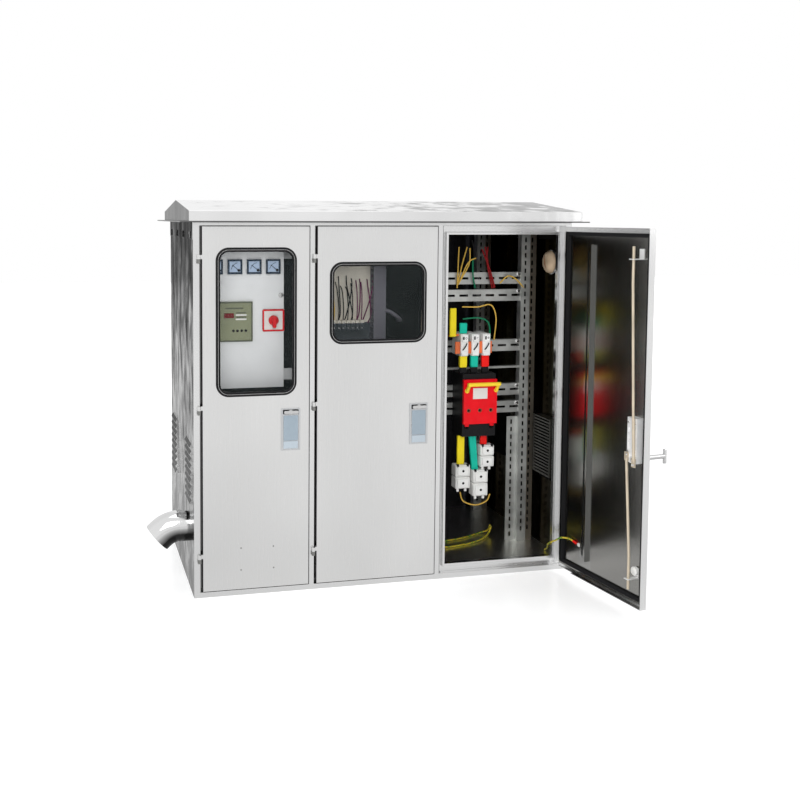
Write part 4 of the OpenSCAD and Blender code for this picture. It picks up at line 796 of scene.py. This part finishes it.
# Below each sleeve a black block, painted shade: it stands for the sleeve's lower end lying in shade
sleeve_ends = [block((x - 12, BAR_Y - 2, 706), (x + 12, BAR_Y + 9, 728), 1.0) for x in BUS]
new_piece("shaded_sleeve_ends", *joined(sleeve_ends), black_parts_and_shade, "cabinet", "phase_sleeve")
link = block((BUS[0] - 53, BAR_Y + 10, 841), (BUS[0] - HALF, BAR_Y + 14, 849), 0.5)
new_piece("bar_link", *link, copper, "cabinet", "carrier_white")

# Double terminal blocks, by left, right, lower and upper edge: a case per half, a raised nose with its
# screw, side ribs, feet below and clips above
BLOCKS = ((BUS[0] - 29, BUS[0] + 27, 281, 368), (BUS[1] - 3, BUS[1] + 54, 250, 346),
          (BUS[2] - 19, BUS[2] + 34, 358, 438))
white, marks, clips = [], [], []
for x0, x1, z0, z1 in BLOCKS:
    mid = (z0 + z1) / 2
    for low, high in ((z0, mid - 1.5), (mid + 1.5, z1)):
        white.append(block((x0, -218, low), (x1, -176, high), 1.8))
        white.append(block((x0 + 7, -223, low + 5), (x1 - 7, -217, high - 5), 1.4))
        for x in (x0 + 1.5, x1 - 5.5):
            white.append(block((x, -221, low + 4), (x + 4, -217, high - 4), 0.8))
        centre = ((x0 + x1) / 2, -222.8, (low + high) / 2)
        marks.append(turned([(4.6, 0), (4.6, -0.6), (3.8, -0.9)], 14, 1, centre))
    white.append(block((x0 + 8, -210, mid - 2), (x1 - 8, -180, mid + 2), 0.4))
    for x in (x0 + 8, x1 - 18):
        white.append(block((x, -210, z0 - 13), (x + 9, -203, z0 + 1), 1.0))
    clips += [block((x, -219.5, z1 - 9), (x + 9, -212, z1 + 4), 1.0) for x in (x0 + 4, x1 - 13)]
new_piece("terminal_cases", *joined(white), white_plastic, "cabinet", "carrier_white", 40,
          ["terminal_blocks"])
new_piece("terminal_screws", *joined(marks), black_parts_and_shade, "cabinet", "base_black", 40)
new_piece("terminal_clips", *joined(clips), black_plastic, "cabinet", "base_black", 40)

# Fuse switch: the cover's blank label, the rims and backs of its three sight holes, and the base's ribs
SWITCH_X, SWITCH_W, SWITCH_Y = 321.5, 129.0, -225.0
COVER_Y = SWITCH_Y - 0.3 - 13
HOLE_Z = 573
middle = SWITCH_X + SWITCH_W / 2
label = block((middle - 29, COVER_Y - 0.2, 615), (middle + 27, COVER_Y + 0.9, 655), 0.2)
new_piece("blank_label", *label, plate_white, "switch_cover", "carrier_white")
rim = [(7.4, 0.2), (7.4, -1.0), (6.6, -1.5), (5.6, -1.2), (5.1, 0.2), (5.1, 3.9)]
rims = [turned(rim, 24, 1, (x - 2, COVER_Y, HOLE_Z), False) for x in PHASES]
new_piece("sight_rims", *joined(rims), lamp_brown, "switch_cover", "switch_red", 40)
backs = [turned([(5.0, 3.2), (5.0, 2.6)], 20, 1, (x - 2, COVER_Y, HOLE_Z)) for x in PHASES]
new_piece("sight_holes", *joined(backs), black_parts_and_shade, "switch_cover", "base_black")
ribs = [block((x, SWITCH_Y - 0.8, 478), (x + 3, SWITCH_Y + 0.5, 501), 0.4)
        for x in (SWITCH_X + 6 + 9 * i for i in range(14))]
new_piece("base_ribs", *joined(ribs), black_plastic, "cabinet", "base_black")

# Rotary switch: the red frame of its plate, and the knob with its grip
KNOB = np.array([-390.0, 0, 921.0])
rim = [(0, PANEL_Y), (0, PANEL_Y - 4.4), (-1, PANEL_Y - 5.2), (-5.4, PANEL_Y - 5.2), (-6, PANEL_Y - 3.2)]
points, faces = framed(rim, 76, 76, 4)
new_piece("knob_frame", points + KNOB, faces, red_gloss, "cabinet", "switch_red", 40)
points, faces = plate(13, 42, 6.4, -28, -13, 1.6)
disc = [(17, PANEL_Y - 3.5), (17, PANEL_Y - 12), (15, PANEL_Y - 14), (4, PANEL_Y - 14.2)]
knob = joined([turned(disc, 36, 1, KNOB), (points + KNOB + np.array([0, PANEL_Y, -4]), faces)])
new_piece("rotary_knob", *knob, red_gloss, "knob", "switch_red", 45, ["switch_knob"])

# Cabin lamp: dome and ring, and the brown band that bends over the dome
LAMP = (673, -220, 1111)
dome = turned([(41.5, -10), (41, -17), (36.5, -25.5), (27, -31.5), (12, -34.5), (0.5, -35)], 48, 0, LAMP)
new_piece("lamp_dome", *dome, lamp_opal, "cabinet", "lamp_cream", 50, ["cabin_lamp"])
ring = turned([(47, 0), (47, -9), (45, -12), (42.4, -12.6), (41, -11)], 48, 0, LAMP)
new_piece("lamp_ring", *ring, bright_metal, "cabinet", "lamp_cream", 50)
t = np.linspace(-1.15, 1.15, 15)
band = LAMP + np.stack([1.2 - 34.8 * np.cos(t), 6 * np.sin(2 * t), 42 * np.sin(t)], -1)
new_piece("lamp_band", *wire(band, 9, 2, 10), lamp_brown, "cabinet", "lamp_cream", 60)

# Dust screens, 1 mm thick, behind the louvres and the vent bands
SCREEN_X = 671.5
screen_black = moulded("dust_screen", grey(0.004), 0.93)
for side, name in ((-1, "left"), (1, "right")):
    x0, x1 = sorted((side * SCREEN_X, side * (SCREEN_X + 1)))
    sheets = [block((x0, y - 80, 296), (x1, y + 80, 530), 0.1) for y in (-224, 210)]
    sheets.append(block((x0, -330, 1194), (x1, 330, 1240), 0.1))
    new_piece(f"{name}_screens", *joined(sheets), screen_black, "cabinet", "base_black")

# Small lock on the instrument panel, and four dots low on door 1
lock = joined([turned([(9, 0), (9, -3), (7.5, -5), (2, -5.4)], 24, 1, (-364, PANEL_Y, 1007)),
               block((-366, PANEL_Y - 9, 1001), (-362, PANEL_Y - 5, 1013), 0.8)])
new_piece("panel_lock", *lock, bright_metal, "cabinet", "lock_steel", 40)
DOTS = ((-517, 162), (-406, 161), (-517, 87), (-405, 87))
dots = [turned([(2.6, 0.2), (2.6, -0.4), (1.6, -0.9)], 14, 1, (x, DOOR_FACE, z)) for x, z in DOTS]
new_piece("door_1_dots", *joined(dots), hinge_metal, "door_1", "hinge_steel", 40)

# Bonding lead: its lug and sleeve on door 3, and the wire, which bends from the frame to the door
LUG_Z = 107.7
STUD = (101, 0, LUG_Z - 2)
lug = joined([turned([(7, 2.1), (7, 3.4), (6, 3.9)], 20, 1, STUD),
              block((92, 2.2, LUG_Z - 6), (104, 3.6, LUG_Z + 2), 0.4),
              turned([(4.5, 3.4), (4.5, 7), (3.6, 8)], 6, 1, STUD)])
new_piece("lead_lug", on_door(3, lug[0]), lug[1], plate_white, "door_3", "lock_steel", 40)
sleeve = wire([(74, 7.8, LUG_Z + 4.9), (82, 6.3, LUG_Z + 2.8), (89.5, 5.3, LUG_Z - 0.2)], 8.4, 4, 12)
new_piece("lead_sleeve", on_door(3, sleeve[0]), sleeve[1], sleeve_red, "door_3", "phase_sleeve", 60)
on_box = np.array([(644, -255, 43.2), (640, -284, 59.2), (626, -312, 81.2), (620, -348, 101.2)], float)
on_shell = on_door(3, [(2, 30, 96.2), (22, 22, 110.2), (48, 13, 115.2), (72, 8, 113.2), (89, 5.2, LUG_Z)])
points, faces = wire(np.vstack([on_box, on_shell]), 6.0, 5, 12)
lead = new_piece("lead_wire", points, faces, earth_stripes, None, "earth_insulation", 60, ["bonding_lead"])
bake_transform(lead)

# Each door's roller beside the lower rod's guide, and the screws of its lock case
ROLLER_OFF, ROLLER_Z = 6.93, 114.0
CORNERS = ((-16, -60), (16, -60), (-16, 34), (16, 34))
for k in (1, 2, 3):
    d = f"door_{k}"
    points, faces = turned([(14, 2.2), (14, 12), (12.5, 13.2)], 28, 1)
    at = np.array([DOOR_W[k - 1] - LOCK_IN[k - 1] + ROLLER_OFF, 3.0, ROLLER_Z])
    new_piece(d + "_guide_roller", on_door(k, points + at), faces, nylon, d, "lock_steel", 40)
    head = [(4, 29.9), (4, 31.4), (2.8, 32.2)]
    points, faces = joined([turned(head, 14, 1, (x, 0, z)) for x, z in CORNERS])
    new_piece(d + "_case_screws", on_lock(k, points), faces, bright_metal, d, "lock_steel", 40)

# Floor, world and lamps: what mirrors in the metal is a little darker than what the camera sees. The floor
# glows more and more from NEAR to OUT, in metres from the box's middle, and by MIRRORED in mirror images
NEAR, OUT = 1.6, 4.5
MIRRORED = 0.64
floor_mesh = bpy.data.meshes.new("floor")
floor_mesh.from_pydata([(-14, -9, 0), (14, -9, 0), (14, 16, 0), (-14, 16, 0)], [], [[0, 1, 2, 3]])
floor = bpy.data.objects.new("floor", floor_mesh)
bpy.context.scene.collection.objects.link(floor)


def ramp(tree, value, low, high, start, end):
    """A linear ramp of one value, held at both ends."""
    node = tree.nodes.new("ShaderNodeMapRange")
    for key, number in (("From Min", low), ("From Max", high), ("To Min", start), ("To Max", end)):
        node.inputs[key].default_value = number
    tree.links.new(value, node.inputs["Value"])
    return node.outputs[0]


def sums(tree, kind, first, second):
    """One arithmetic node on two values, each a number or a socket."""
    node = tree.nodes.new("ShaderNodeMath")
    node.operation = kind
    for socket, value in zip(node.inputs, (first, second)):
        if isinstance(value, (int, float)):
            socket.default_value = value
        else:
            tree.links.new(value, socket)
    return node.outputs[0]


def split_by(tree, factor, first, second):
    """first times 1 - factor plus second times factor."""
    return sums(tree, "ADD", sums(tree, "MULTIPLY", first, sums(tree, "SUBTRACT", 1.0, factor)),
                sums(tree, "MULTIPLY", factor, second))


pale = Shader("pale_floor")
tree = pale.tree
ray = tree.nodes.new("ShaderNodeLightPath").outputs["Is Glossy Ray"]
far = pale.add("ShaderNodeVectorMath", Vector=pale.coords, operation="LENGTH").outputs["Value"]
pale.set("Base Color", pale.mix(ray, (0.90, 0.90, 0.90), (0.02, 0.02, 0.02)))
pale.set("Roughness", 0.22)
pale.set("Specular IOR Level", 0.35)
pale.set("Emission Color", (1, 1, 1, 1))
glow = ramp(tree, far, NEAR, OUT, 0.42, 1.0)
pale.set("Emission Strength", split_by(tree, ray, glow, MIRRORED))
floor_mesh.materials.append(pale.material)

world = bpy.data.worlds.new("studio")
bpy.context.scene.world = world
world.use_nodes = True
tree = world.node_tree
tree.nodes.clear()
out = tree.nodes.new("ShaderNodeOutputWorld")
ray = tree.nodes.new("ShaderNodeLightPath")
split = tree.nodes.new("ShaderNodeSeparateXYZ")
tree.links.new(tree.nodes.new("ShaderNodeTexCoord").outputs["Generated"], split.inputs[0])
front = ramp(tree, split.outputs["Z"], -0.5, 0.15, 0.70, 0.92)
side = sums(tree, "MULTIPLY", ramp(tree, split.outputs["X"], -0.09, 0.05, 0.85, 0.95),
            ramp(tree, split.outputs["Z"], 0.02, 0.09, 0.85, 1.0))
behind = ramp(tree, split.outputs["Y"], 0.1, 0.5, 0.0, 1.0)
glow = split_by(tree, behind, front, side)

# Three backgrounds: what lights the box, what mirrors in it, and what the camera sees
shades = []
for colour, strength in (((0.97, 0.985, 1.0, 1), 0.50), ((1, 1, 1, 1), glow), ((1, 1, 1, 1), 1.0)):
    node = tree.nodes.new("ShaderNodeBackground")
    node.inputs[0].default_value = colour
    if isinstance(strength, float):
        node.inputs[1].default_value = strength
    else:
        tree.links.new(strength, node.inputs[1])
    shades.append(node.outputs[0])
seen = sums(tree, "MAXIMUM", ray.outputs["Is Camera Ray"], ray.outputs["Is Transmission Ray"])
for amount, shade_in in ((ray.outputs["Is Glossy Ray"], shades[1]), (seen, shades[2])):
    node = tree.nodes.new("ShaderNodeMixShader")
    tree.links.new(amount, node.inputs[0])
    tree.links.new(shades[0], node.inputs[1])
    tree.links.new(shade_in, node.inputs[2])
    shades[0] = node.outputs[0]
tree.links.new(shades[0], out.inputs[0])


def soft_lamp(name, at, aim, size, power, shine=0.35):
    """A square area lamp at one point turned towards another. One with little shine has no mirror image."""
    light = bpy.data.lights.new(name, "AREA")
    light.shape = "SQUARE"
    light.size = size
    light.energy = power
    light.specular_factor = shine
    lamp_object = bpy.data.objects.new(name, light)
    bpy.context.scene.collection.objects.link(lamp_object)
    lamp_object.visible_glossy = shine > 0.1
    z = np.asarray(at, float) - np.asarray(aim, float)
    z /= np.linalg.norm(z)
    x = np.cross((0, 0, 1), z)
    x /= np.linalg.norm(x)
    m = np.eye(4)
    m[:3, 0], m[:3, 1], m[:3, 2], m[:3, 3] = x, np.cross(z, x), z, at
    lamp_object.matrix_world = Matrix(m.tolist())


soft_lamp("key", (-1.8, -4.2, 3.6), (0, -0.3, 0.7), 2.6, 60)
soft_lamp("fill", (3.4, -3.0, 2.4), (0.3, -0.3, 0.7), 2.4, 22)
soft_lamp("room", (-0.7, -3.3, 1.7), (0.45, 0.0, 0.6), 0.7, 24, 0.05)
soft_lamp("top", (0.2, 0.2, 4.2), (0, 0, 0), 3.0, 30)

bpy.context.scene.view_settings.view_transform = "Standard"
